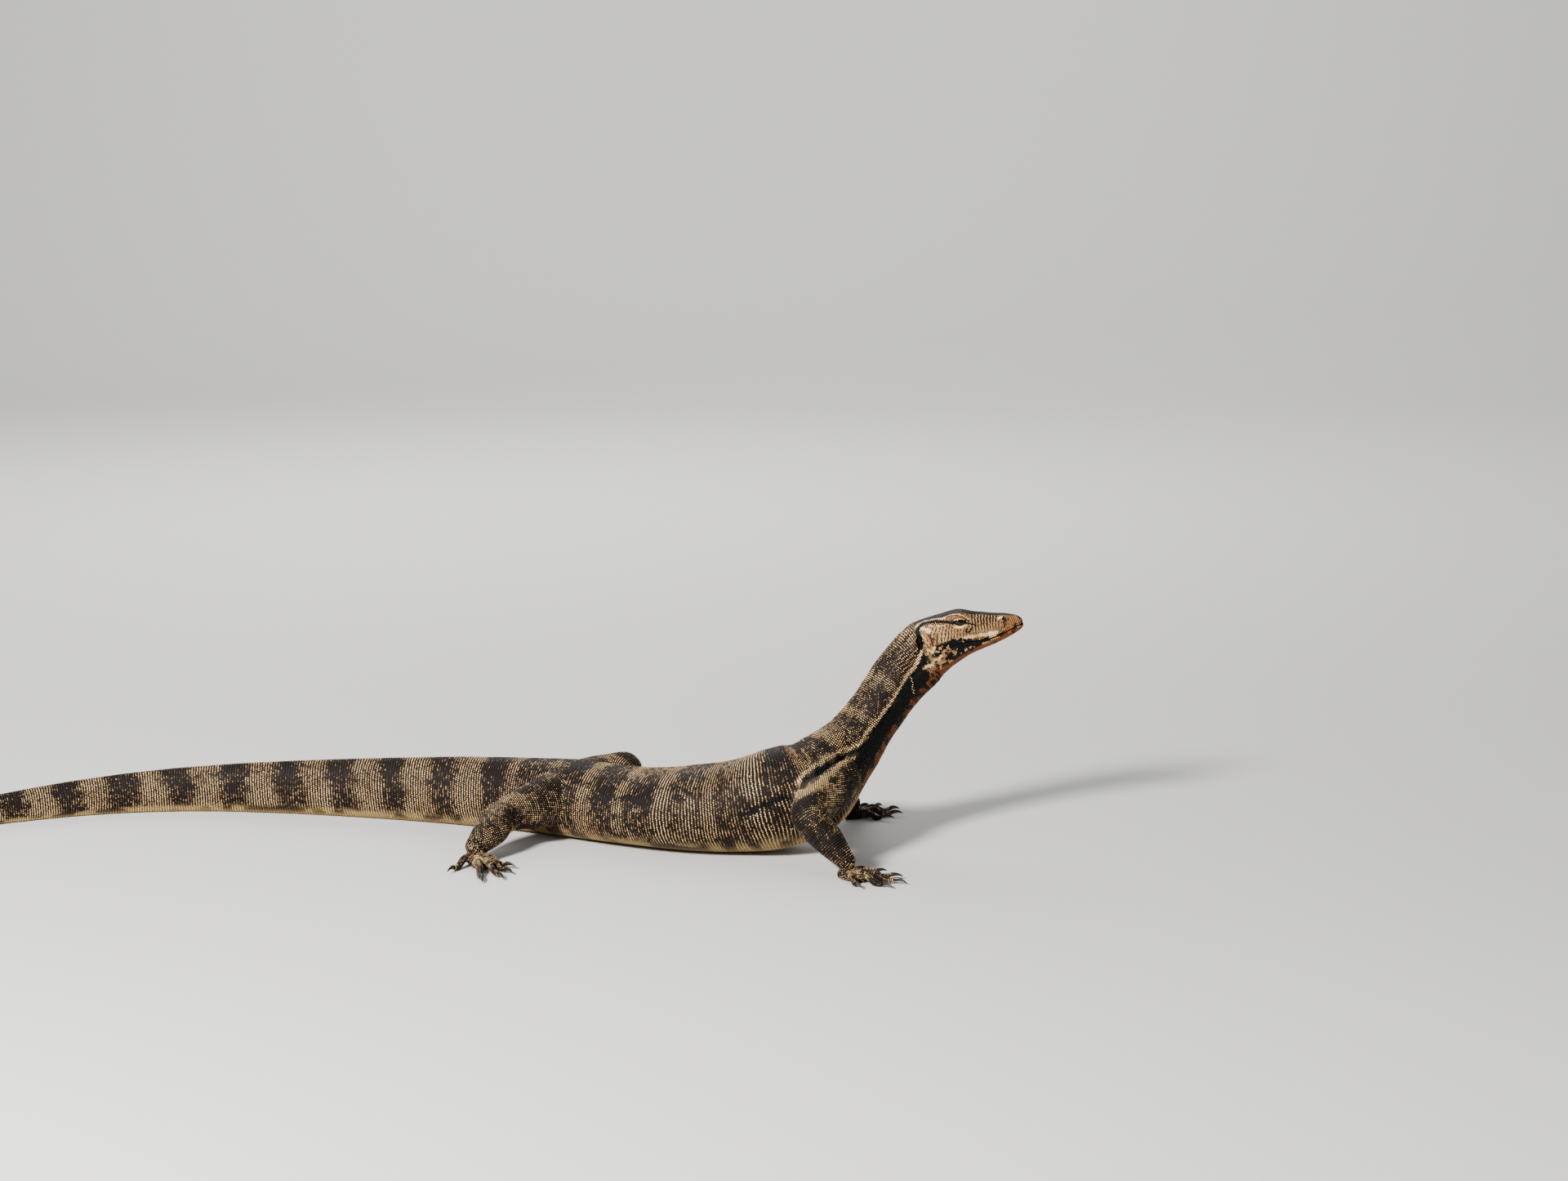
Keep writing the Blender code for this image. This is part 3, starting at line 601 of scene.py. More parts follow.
    def locate(self, points: Array) -> tuple[Array, Array, Array]:
        """Find where points are on the hide.

        Args:
            points: Places near the hide.

        Returns:
            Distance along the spine, angle round it, and height above the hide.
        """
        coarse = np.arange(0, self.samples, self.coarse_step)
        along = np.empty(len(points))
        for start in range(0, len(points), self.batch):
            part = points[start:start + self.batch]
            gap = ((part[:, None] - self.table[None, coarse, :3]) ** 2).sum(axis=2)
            along[start:start + self.batch] = self.at[coarse[gap.argmin(axis=1)]]
        for _ in range(self.passes):
            row = self.read(along)
            off = ((points - row[:, :3]) * row[:, 6:9]).sum(axis=1)
            along = np.clip(along - self.damping * off, 0, self.length)
        row = self.read(along)
        side = ((points - row[:, :3]) * row[:, 9:12]).sum(axis=1)
        rise = ((points - row[:, :3]) * row[:, 12:15]).sum(axis=1)
        power = self.squareness(along)
        reach = np.where(rise > 0, row[:, 4], row[:, 5])
        wide, tall = np.abs(side) / row[:, 3], np.abs(rise) / reach
        level = (wide**power + tall**power) ** (1 / power)
        angle = np.arctan2(np.sign(side) * wide ** (power / 2), np.sign(rise) * tall ** (power / 2))
        height = (level - 1) / np.maximum(level, 0.2) * np.hypot(side, rise)
        return along, angle, height


@dataclass
class LimbForm:
    """One leg: its joints, the way that its foot points, and its surfaces."""

    name: str
    foot: str
    root: Vector
    middle: Vector
    ankle: Vector
    heading: float
    outer_side: int
    stations: int = 61

    def __post_init__(self) -> None:
        """Work out the middle line and its radii."""
        root, middle, ankle = (np.array(joint) for joint in (self.root, self.middle, self.ankle))
        joints = [root, (root + middle) / 2, middle, (middle + ankle) / 2, ankle]
        knots = [0.0, 0.5, 1.0, 1.5, 2.0]
        self.at = np.linspace(0, 2, self.stations)
        self.radii = curve_through(knots, LIMB_RADII[self.foot], self.at)[:, 0]
        self.path = curve_through(knots, joints, self.at)
        bend = (self.middle - self.root).cross(self.ankle - self.middle).normalized()
        self.bend = np.array(bend if bend.z > 0 else -bend)
        forward = unit(np.gradient(self.path, axis=0))
        self.forward = forward
        self.wide = unit(self.bend - forward * (forward @ self.bend)[:, None])
        self.tall = np.cross(forward, self.wide) * -self.outer_side
        turn = math.radians(self.heading)
        forward = Vector((math.cos(turn), math.sin(turn), 0))
        outward = Vector((-forward.y, forward.x, 0)) * self.outer_side
        base = Matrix((forward, outward, (0, 0, 1))).transposed().to_4x4()
        self.frame = Matrix.Translation((self.ankle.x, self.ankle.y, 0)) @ base

    def rings(self, sides: int, swell: float = 0.0) -> Array:
        """Return rings round the whole leg."""
        soften = round(3 * (self.stations - 1) / 18)
        return swept(self.path, self.radii + swell, self.radii + swell, self.bend, sides, soften)

    def digit_path(self, digit: Digit, steps: int) -> tuple[Array, Array]:
        """Return the middle line of a digit and its radii."""
        turn = math.radians(digit.spread)
        shares, heights, thickness = zip(*DIGIT_SHAPE)
        at = np.linspace(0, 1, steps)
        shape = curve_through(shares, columns(heights, thickness), at)
        reach = digit.length * at
        local = columns(digit.forward + reach * math.cos(turn),
                        digit.outward + reach * math.sin(turn), shape[:, 0])
        return placed(local, self.frame), digit.radius * shape[:, 1]

    def from_foot(self, points: Array, ahead: float, rise: float) -> Array:
        """Return how far points are from a place ahead of the ankle in the foot."""
        return np.linalg.norm(points - np.array(self.frame @ Vector((ahead, 0, rise))), axis=1)

    def solids(self, swell: float) -> list:
        """Return the closed forms of the leg and foot, each as points and faces."""
        forms = [loft(self.rings(40, swell))]
        lat = np.linspace(0, math.pi, 14)[1:-1]
        ball = []
        for angle in lat:
            lon = whole_turn(24)
            ball.append(columns(math.sin(angle) * np.cos(lon), math.sin(angle) * np.sin(lon),
                                math.cos(angle)))
        ball = np.array(self.ankle) + np.array(ball) * (self.radii[-1] + swell)
        forms.append(loft(ball))
        forward, widths, heights = zip(*SOLES[self.foot])
        at = np.linspace(forward[0], forward[-1], 24)
        sole = curve_through(forward, columns(widths, heights), at)
        path = placed(columns(at, 0.0, sole[:, 1] - FLOOR_SINK), self.frame)
        across = np.array(self.frame)[:3, 1]
        forms.append(loft(swept(path, sole[:, 0] + swell, sole[:, 1] + swell, across, 28)))
        for digit in DIGITS[self.foot]:
            path, radii = self.digit_path(digit, 22)
            forms.append(loft(swept(path, radii + swell, radii + swell, np.array((0.0, 0.0, 1.0)), 16)))
        return forms

    def locate(self, points: Array) -> tuple[Array, Array, Array]:
        """Return the place along the leg, the angle round it and the height above it."""
        gap = ((points[:, None] - self.path[None]) ** 2).sum(axis=2)
        near = gap.argmin(axis=1)
        forward = self.forward[near]
        off = points - self.path[near]
        off = off - forward * (off * forward).sum(axis=1)[:, None]
        angle = np.arctan2((off * self.tall[near]).sum(axis=1), (off * self.wide[near]).sum(axis=1))
        height = np.linalg.norm(off, axis=1) - self.radii[near]
        beyond = (near == self.stations - 1) | (near == 0)
        height = np.where(beyond, np.sqrt(gap.min(axis=1)) - self.radii[near], height)
        return self.at[near], angle, height


def build_limbs() -> list[LimbForm]:
    """Return the four legs in the pose."""
    return [
        LimbForm("right_fore", "hand", Vector((0.138, -0.028, 0.077)),
                 Vector((0.1135, -0.112, 0.0575)), Vector((0.149, -0.130, 0.018)), -26.0, -1),
        LimbForm("left_fore", "hand", Vector((0.144, 0.015, 0.077)),
                 Vector((0.126, 0.087, 0.055)), Vector((0.158, 0.113, 0.018)), 40.0, 1),
        LimbForm("right_hind", "foot", Vector((-0.126, 0.038, 0.046)),
                 Vector((-0.187, -0.013, 0.034)), Vector((-0.212, -0.067, 0.017)), -72.0, -1),
        LimbForm("left_hind", "foot", Vector((-0.116, 0.066, 0.046)),
                 Vector((-0.073, 0.135, 0.048)), Vector((-0.112, 0.166, 0.018)), 34.0, 1),
    ]


class Lamp(NamedTuple):
    """A square soft light: where it stands, its size and power, and what it faces."""

    name: str
    place: tuple
    size: float
    power: float
    aim: tuple = (0.05, 0.0, 0.08)
    shines_on_gloss: bool = True


LAMPS = (
    Lamp("key", (-1.6, -2.2, 1.9), 0.6, 190.0),
    Lamp("fill", (1.9, -2.4, 1.3), 2.4, 24.0, shines_on_gloss=False),
    Lamp("rim", (-0.6, 2.2, 1.7), 1.6, 26.0),
    Lamp("wall", (0.0, 2.4, 3.2), 3.0, 90.0, (0.0, 5.6, 0.6)),
)


@dataclass
class Studio:
    """The camera at the photo's viewing angle, a pale floor and soft lights."""

    eye: tuple = (0.0895, -3.8866, 0.9793)
    depression: float = 10.5
    lens: float = 92.2
    floor_size: float = 24.0
    floor_depth: float = 3.2
    cove: float = 2.4
    floor_tone: tuple = (0.62, 0.61, 0.585)
    sky_tone: tuple = (0.9, 0.92, 1.0)
    sky_strength: float = 0.32

    def build(self) -> None:
        """Place the camera, the lights and the floor."""
        camera = add_object("camera", bpy.data.cameras.new("camera"))
        camera.data.lens = self.lens
        camera.data.sensor_width = 36.0
        camera.data.clip_end = 60.0
        camera.location = self.eye
        camera.rotation_euler = (math.radians(90 - self.depression), 0, 0)
        bpy.context.scene.camera = camera
        self._floor()
        for lamp in LAMPS:
            self._light(lamp)
        world = bpy.data.worlds.new("studio")
        world.use_nodes = True
        feed(world.node_tree, world.node_tree.nodes["Background"],
             {"Color": (*self.sky_tone, 1), "Strength": self.sky_strength})
        bpy.context.scene.world = world
        bpy.context.scene.view_settings.look = "AgX - Medium High Contrast"

    @staticmethod
    def _light(lamp: Lamp) -> None:
        """Add a lamp, turned to what it faces."""
        light = add_object(lamp.name, bpy.data.lights.new(lamp.name, "AREA"))
        light.data.size = lamp.size
        light.data.energy = lamp.power
        light.location = lamp.place
        way = Vector(lamp.aim) - Vector(lamp.place)
        light.rotation_euler = way.to_track_quat("-Z", "Y").to_euler()
        light.visible_glossy = lamp.shines_on_gloss

    def _floor(self) -> None:
        """Lay the floor, which curves up far behind the animal into a plain wall."""
        half = self.floor_size / 2
        turn = np.linspace(0, math.pi / 2, 24)
        run = np.concatenate([[-half], self.floor_depth + self.cove * np.sin(turn),
                              [self.floor_depth + self.cove]])
        rise = np.concatenate([[0.0], self.cove * (1 - np.cos(turn)), [half]])
        corners = [(side * half, y, z) for y, z in zip(run, rise) for side in (-1, 1)]
        faces = [(2 * i, 2 * i + 1, 2 * i + 3, 2 * i + 2) for i in range(len(run) - 1)]
        mesh = bpy.data.meshes.new("floor")
        mesh.from_pydata(corners, [], faces)
        mesh.shade_smooth()
        floor = add_object("floor", mesh)
        surface, tree = new_material("pale_floor")
        feed(tree, tree.nodes["Principled BSDF"],
             {"Base Color": (*self.floor_tone, 1), "Roughness": 0.9, "Specular IOR Level": 0.2})
        mesh.materials.append(surface)


class Stroke(NamedTuple):
    """A marking, or a line of painted shade or highlight, along a line: millimetres along the spine, and
    degrees round it.
    """

    tone: Array
    half_width: float
    places: tuple
    strength: float = 1.0
    ragged: float = 1.0


HEAD_STROKES = (
    Stroke(WHITE, 2.5, ((96.2, 35), (95, 41), (93.5, 47)), 0.8, 2.4),
    Stroke(CREAM, 0.9, ((91, 35), (84, 42), (76, 49)), 0.8, 1.8),
    Stroke(CREAM, 1, ((79, 26), (76.1, 24), (71, 21), (63.5, 27), (57.2, 37), (54, 44))),
    Stroke(BLACK, 0.7, ((76.5, 29), (71, 25), (63.5, 31), (57.5, 41), (53, 50))),
    Stroke(TAN, 0.9, ((75, 34), (70, 29), (63.5, 35), (58, 45), (53.4, 54))),
    Stroke(CREAM, 1, ((77, 27), (79, 24), (84.2, 17), (92.4, 11), (97.4, 12), (99.8, 20), (100.6, 29))),
    # The dark stripe behind the eye; where it leaves the eye's rear corner it is also painted shade in the
    # crease there.
    Stroke(BLACK, 1.5, ((72, 45), (77.3, 38), (83.9, 28), (89.6, 23), (94.3, 21), (98.7, 25),
                        (101, 34), (101.4, 42))),
    # Painted shade in the crease that runs forward and down from the eye's front corner.
    Stroke(BLACK, 1, ((57.5, 53), (54.5, 56), (50.5, 60), (48.5, 63)), 1, 0.8),
    Stroke(TAN, 1.6, ((98, 50), (97, 62), (96, 74)), 0.9, 1.2),
    Stroke(CREAM, 0.7, ((100, 52), (99.2, 64), (98.6, 76)), 0.9, 0.8),
    Stroke(BLACK, 0.7, ((94.6, 60), (93.8, 72), (95.6, 82)), 0.9, 1),
    # Painted shade: the ear's hollow painted black, and the crease that runs from it down and back towards
    # the throat.
    Stroke(BLACK, 1.6, ((101.6, 42), (102.6, 50), (103.4, 55)), 1, 0.5),
    Stroke(BLACK, 3.4, ((103.6, 55), (104.6, 65)), 1, 0.6),
    Stroke(BLACK, 2.7, ((105, 66), (109, 80)), 1, 0.8),
    Stroke(BLACK, 4.6, ((112, 86), (119, 92), (127, 97)), 1, 2.4),
    Stroke(BLACK, 0.7, ((50.6, 60), (52.6, 69), (56.2, 76), (59.5, 73), (58, 68)), 1, 0.5),
    Stroke(WHITE, 1.7, ((20.8, 38), (23.4, 44))),
    Stroke(BLACK, 1.3, ((19.8, 48), (17.6, 56), (19.8, 64))),
    Stroke(BROWN, 0.6, ((12.6, 40), (14.6, 52), (12, 64), (14, 78)), 0.9, 1.2),
    Stroke(BROWN, 0.6, ((21.6, 62), (18.6, 72), (21, 82)), 0.9, 1.2),
    Stroke(BLACK, 1, ((8.4, 80), (9.6, 88)), 0.9, 0.8),
    Stroke(BLACK, 1.5, ((0, 0), (1.6, 0), (1.6, 40))),
    Stroke(CREAM, 0.9, ((62, 84), (47.5, 86), (37.4, 89), (29.3, 90)), 0.85, 1.4),
    Stroke(WHITE, 1.5, ((36.2, 89), (33, 90)), 1, 0.6),
    Stroke(BLACK, 1.8, ((28.6, 101), (24, 97)), 1, 1.2),
    Stroke(BLACK, 1.4, ((14.8, 92), (11.8, 95)), 1, 1),
    Stroke(BLACK, 2.6, ((78, 90), (66.5, 94), (62, 96)), 1, 3),
    Stroke(BLACK, 2.1, ((57, 98), (52, 99)), 1, 1.8),
    Stroke(BLACK, 1.9, ((44.8, 106), (39, 105)), 1, 1.8),
    Stroke(CREAM, 0.8, ((94, 86), (98, 91), (101, 87), (105, 89)), 1, 1.2),
    Stroke(CREAM, 0.9, ((90, 99), (95, 104), (101, 101), (106, 105), (113, 101), (119, 97)), 1, 1.6),
    Stroke(TAN, 0.8, ((80, 98), (86, 104), (92, 110), (99, 112)), 0.8, 1.6),
    Stroke(CREAM, 0.6, ((134, 90), (138, 98), (141, 103), (145.2, 113)), 0.9, 0.8),
)
# The crest of the long fold from behind the ear along the neck to the shoulder. The pale stroke along it is a
# painted highlight, where the crest catches the light.
FOLD_CREST_HIGHLIGHT = ((108, 80), (117, 84), (125, 85), (137, 82), (154, 84), (168, 82), (188, 78), (202, 73),
              (215.6, 68), (225.2, 69), (235, 62), (245, 54), (259, 51), (279, 53), (293, 59), (299, 66))
FLANK_CREASE = ((306, 79), (320, 81), (330, 86), (344, 90))
NECK_STROKES = (
    # Painted shade, partly the hide's own dark colour: a black band below the fold's crest along the neck.
    Stroke(BLACK, 8.4, ((126, 103), (146, 101), (156, 101), (175, 100), (195, 97), (212, 94),
                        (228, 88), (240, 84)), 1, 3),
    # Painted shade on the chest in front of the shoulder, below the same band.
    Stroke(BLACK, 5, ((226, 104), (240, 104), (254, 110)), 0.9, 5),
    Stroke(CREAM, 1, ((256, 10), (259, 18), (262, 27)), 0.9, 1.4),
    Stroke(CREAM, 1, ((270, 14), (272, 22), (273, 34), (277, 45)), 0.9, 1.4),
    # Painted shade in the crease of the flank behind the shoulder.
    Stroke(BLACK, 1.2, FLANK_CREASE, 1, 1.5),
)
SHOULDER_STROKES = (
    # A painted highlight along the crest of the lower fold that bounds the pocket on the shoulder.
    Stroke(CREAM, 1.3, ((240, 77), (247, 71), (256, 67.5), (268, 68.5), (280, 71), (290, 75),
                        (297, 77.5), (303, 78)), 0.95, 1.4),
    # Painted shade: the hollow pocket between the two folds of the shoulder, painted black.
    Stroke(BLACK, 1.8, ((297, 66.5), (290, 64)), 1, 0.5),
    Stroke(BLACK, 3, ((290, 63.5), (283, 61.5), (275, 59.5)), 1, 0.5),
    Stroke(BLACK, 1.9, ((275, 59.5), (264, 58.5), (255, 60)), 1, 0.5),
    Stroke(BLACK, 1.7, ((255, 60), (246, 64), (237, 70), (230, 76)), 1, 0.5),
    # The painted highlight along the upper fold's crest, laid again over the leg's colours.
    Stroke(CREAM, 1.5, FOLD_CREST_HIGHLIGHT, 1, 1.3),
)


def distance_to_line(x: Array, y: Array, places: Array) -> Array:
    """Return how far flat points are from a line through given places."""
    best = np.full(len(x), 1e9)
    for (ax, ay), (bx, by) in zip(places, places[1:]):
        dx, dy = bx - ax, by - ay
        t = np.clip(((x - ax) * dx + (y - ay) * dy) / max(dx * dx + dy * dy, 1e-9), 0, 1)
        best = np.minimum(best, np.hypot(x - ax - t * dx, y - ay - t * dy))
    return best


def from_hide_line(x: Array, turn: Array, arc: float, places: tuple) -> Array:
    """Return how far spots on the hide are from a line on it, in millimetres.

    Args:
        x: Millimetres from the snout along the spine, or down a leg, of each spot.
        turn: Degrees round it.
        arc: Millimetres of hide in a degree.
        places: The line, as pairs of such millimetres and degrees.

    Returns:
        One distance for each spot.
    """
    return distance_to_line(x, turn * arc, [(along, around * arc) for along, around in places])


def from_mouth(local: Array) -> Array:
    """Return how far points, in the skull's frame, are from the mouth's line, in millimetres."""
    return distance_to_line(local[:, 0] * 1000, local[:, 2] * 1000, np.array(MOUTH_LINE) * 1000)


class Ink(NamedTuple):
    """Colours of the scales' tops and of the skin between them, for a list of points."""

    scale: Array
    ground: Array

    def under(self, other: "Ink", share: Array) -> "Ink":
        """Return these colours with others laid over them by a share for each point."""
        return Ink(mix(self.scale, other.scale, share), mix(self.ground, other.ground, share))


@dataclass
class MarkingsAndShade:
    """The pattern of the hide, with painted shade in its creases and hollows and painted highlights on its
    folds, read at any point of the skin or at the root of a scale.
    """

    spine: SpineForm
    limbs: list
    row_of_spots: float = 0.044
    tail_band: float = 0.058

    def read(self, points: Array) -> Ink:
        """Return the colours at each point."""
        along, angle, height = self.spine.locate(points)
        turn = np.degrees(np.abs(angle))
        wobble = (noise(points, 0.0042, 31) - 0.5) * 1.3 + (noise(points, 0.0017, 32) - 0.5)
        ink = self._head(points, along, turn)
        ink = ink.under(self._trunk(along, angle), ease(0.098, 0.107, along))
        ink = self._strokes(ink, along * 1000, turn, NECK_ARC, NECK_STROKES, wobble, along > 0.1)
        ink = self._strokes(ink, along * 1000, turn, HEAD_ARC, HEAD_STROKES, wobble, along < 0.15, 0.7)
        # Painted shade in the groove of the mouth, on the bare skin only.
        mouth = ease(0.95, 0.55, from_mouth(in_head(points))) * (along < 0.084)
        ink = Ink(ink.scale, mix(ink.ground, BLACK * 0.6, mouth))
        for limb in self.limbs:
            _, _, over = limb.locate(points)
            share = np.where(height < 0.0015, 0, ease(0.006, 0.0, over))
            share = np.maximum(share, self._foot_share(limb, points))
            ink = ink.under(self._leg(points), share)
        near = (along > 0.1) & (along < 0.32) & (height < 0.045)
        return self._strokes(ink, along * 1000, turn, NECK_ARC, SHOULDER_STROKES, wobble, near)

    @staticmethod
    def _strokes(ink: Ink, x: Array, turn: Array, arc: float, strokes: tuple,
                 wobble: Array, where: Array, under: float = 0.1) -> Ink:
        """Lay the strokes over the colours where a mask allows it, fainter under the scales."""
        for stroke in strokes:
            away = from_hide_line(x, turn, arc, stroke.places) + wobble * stroke.ragged
            share = ease(stroke.half_width + 0.3, stroke.half_width - 0.3, away)
            share = share * where * stroke.strength
            ink = ink.under(Ink(stroke.tone, stroke.tone * under), share)
        return ink

    @staticmethod
    def _foot_share(limb: LimbForm, points: Array) -> Array:
        """Return 1 near a foot and 0 elsewhere."""
        return ease(0.066, 0.058, limb.from_foot(points, 0.022, 0.005)) * (points[:, 2] < 0.03)

    def _trunk(self, along: Array, angle: Array) -> Ink:
        """Return the colours of neck, trunk and tail: pale scales in bands on a black skin."""
        turn = np.degrees(np.abs(angle))
        around = columns(along, angle * 0.035)
        grain = noise(around, 0.0030, 3)
        patch = noise(around, 0.014, 5)
        wide = noise(around, 0.045, 6)
        # Rows of pale spots over the back, every other row moved half a step round.
        row = along / self.row_of_spots
        odd = np.floor(row) % 2
        dx = ((row % 1) - 0.5) * self.row_of_spots
        dy = ((turn + 15 * odd) / 30 % 1 - 0.5) * 30 * np.radians(1) * 0.045
        spot = ease(0.0085, 0.0035, np.hypot(dx * 0.9, dy * 0.55) + (patch - 0.5) * 0.005)
        # How pale each scale is: by spots, flecks of three sizes and rows, and at the shoulder.
        flank = ease(50, 95, turn)
        fine = noise(around, 0.0016, 4)
        bright = 0.31 + 0.50 * spot * (1 - 0.5 * flank) + 0.55 * (grain - 0.5) + 0.60 * (fine - 0.5)
        bright = bright + 0.16 * flank + 0.30 * (wide - 0.5)
        rows = noise(columns(along, angle * 0.008), 0.010, 9)
        bright = bright + 0.40 * (rows - 0.5)
        bright = bright + 0.45 * np.exp(-((along - 0.336) / 0.011) ** 2) * ease(78, 60, turn)
        bright = bright - 0.22 * np.exp(-((along - 0.309) / 0.013) ** 2) * ease(70, 55, turn)
        bright = bright + 0.06 * ease(0.26, 0.22, along)
        # The tail has bands instead.
        tail = ease(self.spine.vent - 0.01, self.spine.vent + 0.05, along)
        wave = np.sin(math.tau * (along - self.spine.vent) / self.tail_band + 0.4 * flank)
        banded = 0.40 + 0.30 * np.tanh(1.6 * wave + 1.6 * (patch - 0.5)) + 0.55 * (grain - 0.5)
        banded = banded + 0.16 * flank + 0.45 * (fine - 0.5)
        bright = np.clip(bright * (1 - tail) + banded * tail, 0.05, 1)
        pale = mix(TAN * 1.1, CREAM, patch * 0.7 + bright * 0.6)
        scale = mix(BROWN * 0.7, pale, ease(0.14, 0.78, bright))
        # Lines of pale and rust-coloured scales behind the ear.
        ruddy = ease(0.10, 0.12, along) * ease(0.15, 0.128, along)
        ruddy = ruddy * ease(35, 48, turn) * ease(84, 74, turn)
        lines = np.sin(math.tau * turn * NECK_ARC / 4.4 + 5.0 * (patch - 0.5) + along * 160)
        lined = mix(BROWN, mix(ORANGE, CREAM, 0.25 + grain * 0.8), ease(-0.5, 0.1, lines))
        scale = mix(scale, lined, ruddy)
        ground = mix(BLACK, BROWN, patch * 0.35)
        # The throat in painted shade, its scales painted rust-orange for light reflected up from the floor,
        # with its own dark streaks; and a pale belly with short dark bars.
        throat_shade = ease(111, 120, turn) * ease(0.27, 0.22, along)
        stripes = noise(around * np.array((1.6, 0.5)), 0.006, 7)
        shade_and_bounce = mix(ORANGE, BLACK, ease(0.52, 0.60, stripes))
        under = ease(118, 140, turn) * (1 - throat_shade)
        bars = ease(0.45, 0.6, noise(around * np.array((1.0, 0.35)), 0.011, 8))
        belly = mix(BELLY, BROWN * 1.4, bars * ease(165, 130, turn))
        ink = Ink(scale, ground).under(Ink(shade_and_bounce, shade_and_bounce * 0.35), throat_shade)
        return ink.under(Ink(belly, belly * 0.40), under)

    def _head(self, points: Array, along: Array, turn: Array) -> Ink:
        """Return the head's colours, before its strokes."""
        grain = noise(points, 0.0016, 11)
        patch = noise(points, 0.006, 12)
        crown = ease(30, 18, turn) * ease(0.004, 0.012, along)
        ink = Ink(mix(TAN * 0.8, CREAM, patch * 0.6 + 0.5 * (grain - 0.5)),
                  mix(BROWN * 0.6, BLACK, patch))
        # Upright black and pale bars on the side of the snout.
        bars = np.sin(math.tau * (along - turn * 0.00007) / 0.0030 + 2.6 * (patch - 0.5))
        snout = ease(0.055, 0.049, along) * ease(0.022, 0.026, along)
        snout = snout * ease(22, 30, turn) * ease(84, 72, turn)
        dark = mix(BLACK, BROWN * 3.0, ease(50, 70, turn))
        light = mix(TAN * 1.2, CREAM, patch * 0.7)
        barred = mix(dark, light, ease(-0.05, 0.35, bars + 0.5 * (grain - 0.5)))
        ink = ink.under(Ink(barred, barred * 0.5), snout)
        # Fine dark lines on the pale cheek.
        cheek = ease(0.050, 0.062, along) * ease(38, 46, turn) * ease(90, 80, turn)
        lines = np.sin(math.tau * (along - turn * 0.00020) / 0.0034 + 3.0 * (patch - 0.5))
        gold = mix(TAN * 1.1, CREAM, patch * 0.9 + 0.5 * (grain - 0.5))
        veined = mix(BROWN * 2.2, gold, ease(-0.8, 0.0, lines + grain - 0.5))
        ink = Ink(mix(ink.scale, veined, cheek * 0.9), mix(ink.ground, veined * 0.45, cheek))
        dark = mix(BLACK * 1.4, BROWN * 1.5, ease(0.5, 0.8, grain))
        ink = ink.under(Ink(dark, BLACK), crown)
        # Black net on the throat, and below it the jaw's underside in painted shade, painted rust-orange for
        # light reflected up from the floor.
        net = ease(0.50, 0.60, noise(points, 0.0036, 14) * 0.65 + grain * 0.35)
        low_cheek = np.interp(along, (0.045, 0.065), (91, 79))
        jaw = ease(0, 6, turn - low_cheek)
        edge = np.interp(along, (0.015, 0.04, 0.07, 0.11), (98, 119, 124, 126))
        under = ease(-5, 6, turn - edge + 14 * (patch - 0.5))
        netted = mix(BLACK, mix(TAN, CREAM, patch), net)
        shade_and_bounce = mix(ORANGE, BROWN, ease(0.62, 0.75, patch) * 0.8)
        low = mix(netted, shade_and_bounce, under)
        tip = ease(0.023, 0.019, along) * ease(26, 40, turn) * (1 - jaw)
        fawn = mix(ORANGE * 1.2, CREAM, patch * 0.45 + 0.3 * (grain - 0.5))
        return ink.under(Ink(fawn, BROWN), tip).under(Ink(low, low * 0.4), jaw)

    @staticmethod
    def _leg(points: Array) -> Ink:
        """Return the colours of a leg: pale dots on black."""
        grain = noise(points, 0.0030, 21)
        patch = noise(points, 0.013, 22)
        fine = noise(points, 0.0016, 23)
        bright = 0.35 + 0.5 * (grain - 0.5) + 0.6 * (patch - 0.5) + 0.6 * (fine - 0.5)
        pale = mix(TAN * 1.1, CREAM, patch + 0.25)
        return Ink(mix(BROWN, pale, ease(0.18, 0.80, bright)), mix(BLACK, BROWN, patch * 0.3))


def eye_centre(side: int) -> Vector:
    """Return the middle of an eyeball; the side is 1 on the left and -1 on the right."""
    return head_frame() @ Vector((-EYE_BACK, side * EYE_SIDE, EYE_RISE))


def almond(turn: Array, grow: float = 0.0) -> Array:
    """Return points on the edge of the eye's opening.

    Args:
        turn: Angles round the opening, 0 at its front corner.
        grow: Distance by which the opening is made wider all round.

    Returns:
        Places forward of the eye's middle and above it.
    """
    x = np.cos(turn) * (LID_HALF_LENGTH + grow)
    z = np.sin(turn) * np.abs(np.sin(turn)) ** 0.35 * (LID_HALF_HEIGHT + grow)
    tilt = math.radians(LID_TILT)
    return columns(x * math.cos(tilt) + z * math.sin(tilt), z * math.cos(tilt) - x * math.sin(tilt))


def almond_level(forward: Array, rise: Array) -> Array:
    """Return 1 on the edge of the eye's opening, less inside it and more outside."""
    tilt = math.radians(LID_TILT)
    x = forward * math.cos(tilt) - rise * math.sin(tilt)
    z = forward * math.sin(tilt) + rise * math.cos(tilt)
    return np.hypot(x / LID_HALF_LENGTH, (np.abs(z) / LID_HALF_HEIGHT) ** 0.9)


class Channel(NamedTuple):
    """A hollow along a line on the hide, in millimetres, or a ridge if its depth is negative."""

    places: tuple
    depth: float
    width: float


EAR_CHANNELS = (
    Channel(((103.4, 52), (104, 57), (105.4, 67)), 4.6, 3.0),
    Channel(((105.5, 70), (109, 80), (121, 82)), 1.5, 1.7),
    Channel(((99.4, 47), (99.2, 62), (98.6, 76)), -0.5, 1.5),
)
NECK_CHANNELS = (
    Channel(FOLD_CREST_HIGHLIGHT, -0.45, 2.2),
    Channel(tuple((along, around + 8) for along, around in FOLD_CREST_HIGHLIGHT[2:]), 1.7, 2.4),
)
FLANK_CHANNELS = (Channel(FLANK_CREASE, 1.6, 1.6),)
ARM_POCKET = Channel(((-4, 10), (14, 30), (27, 43), (38, 58), (41, 74)), 5.2, 4.4)


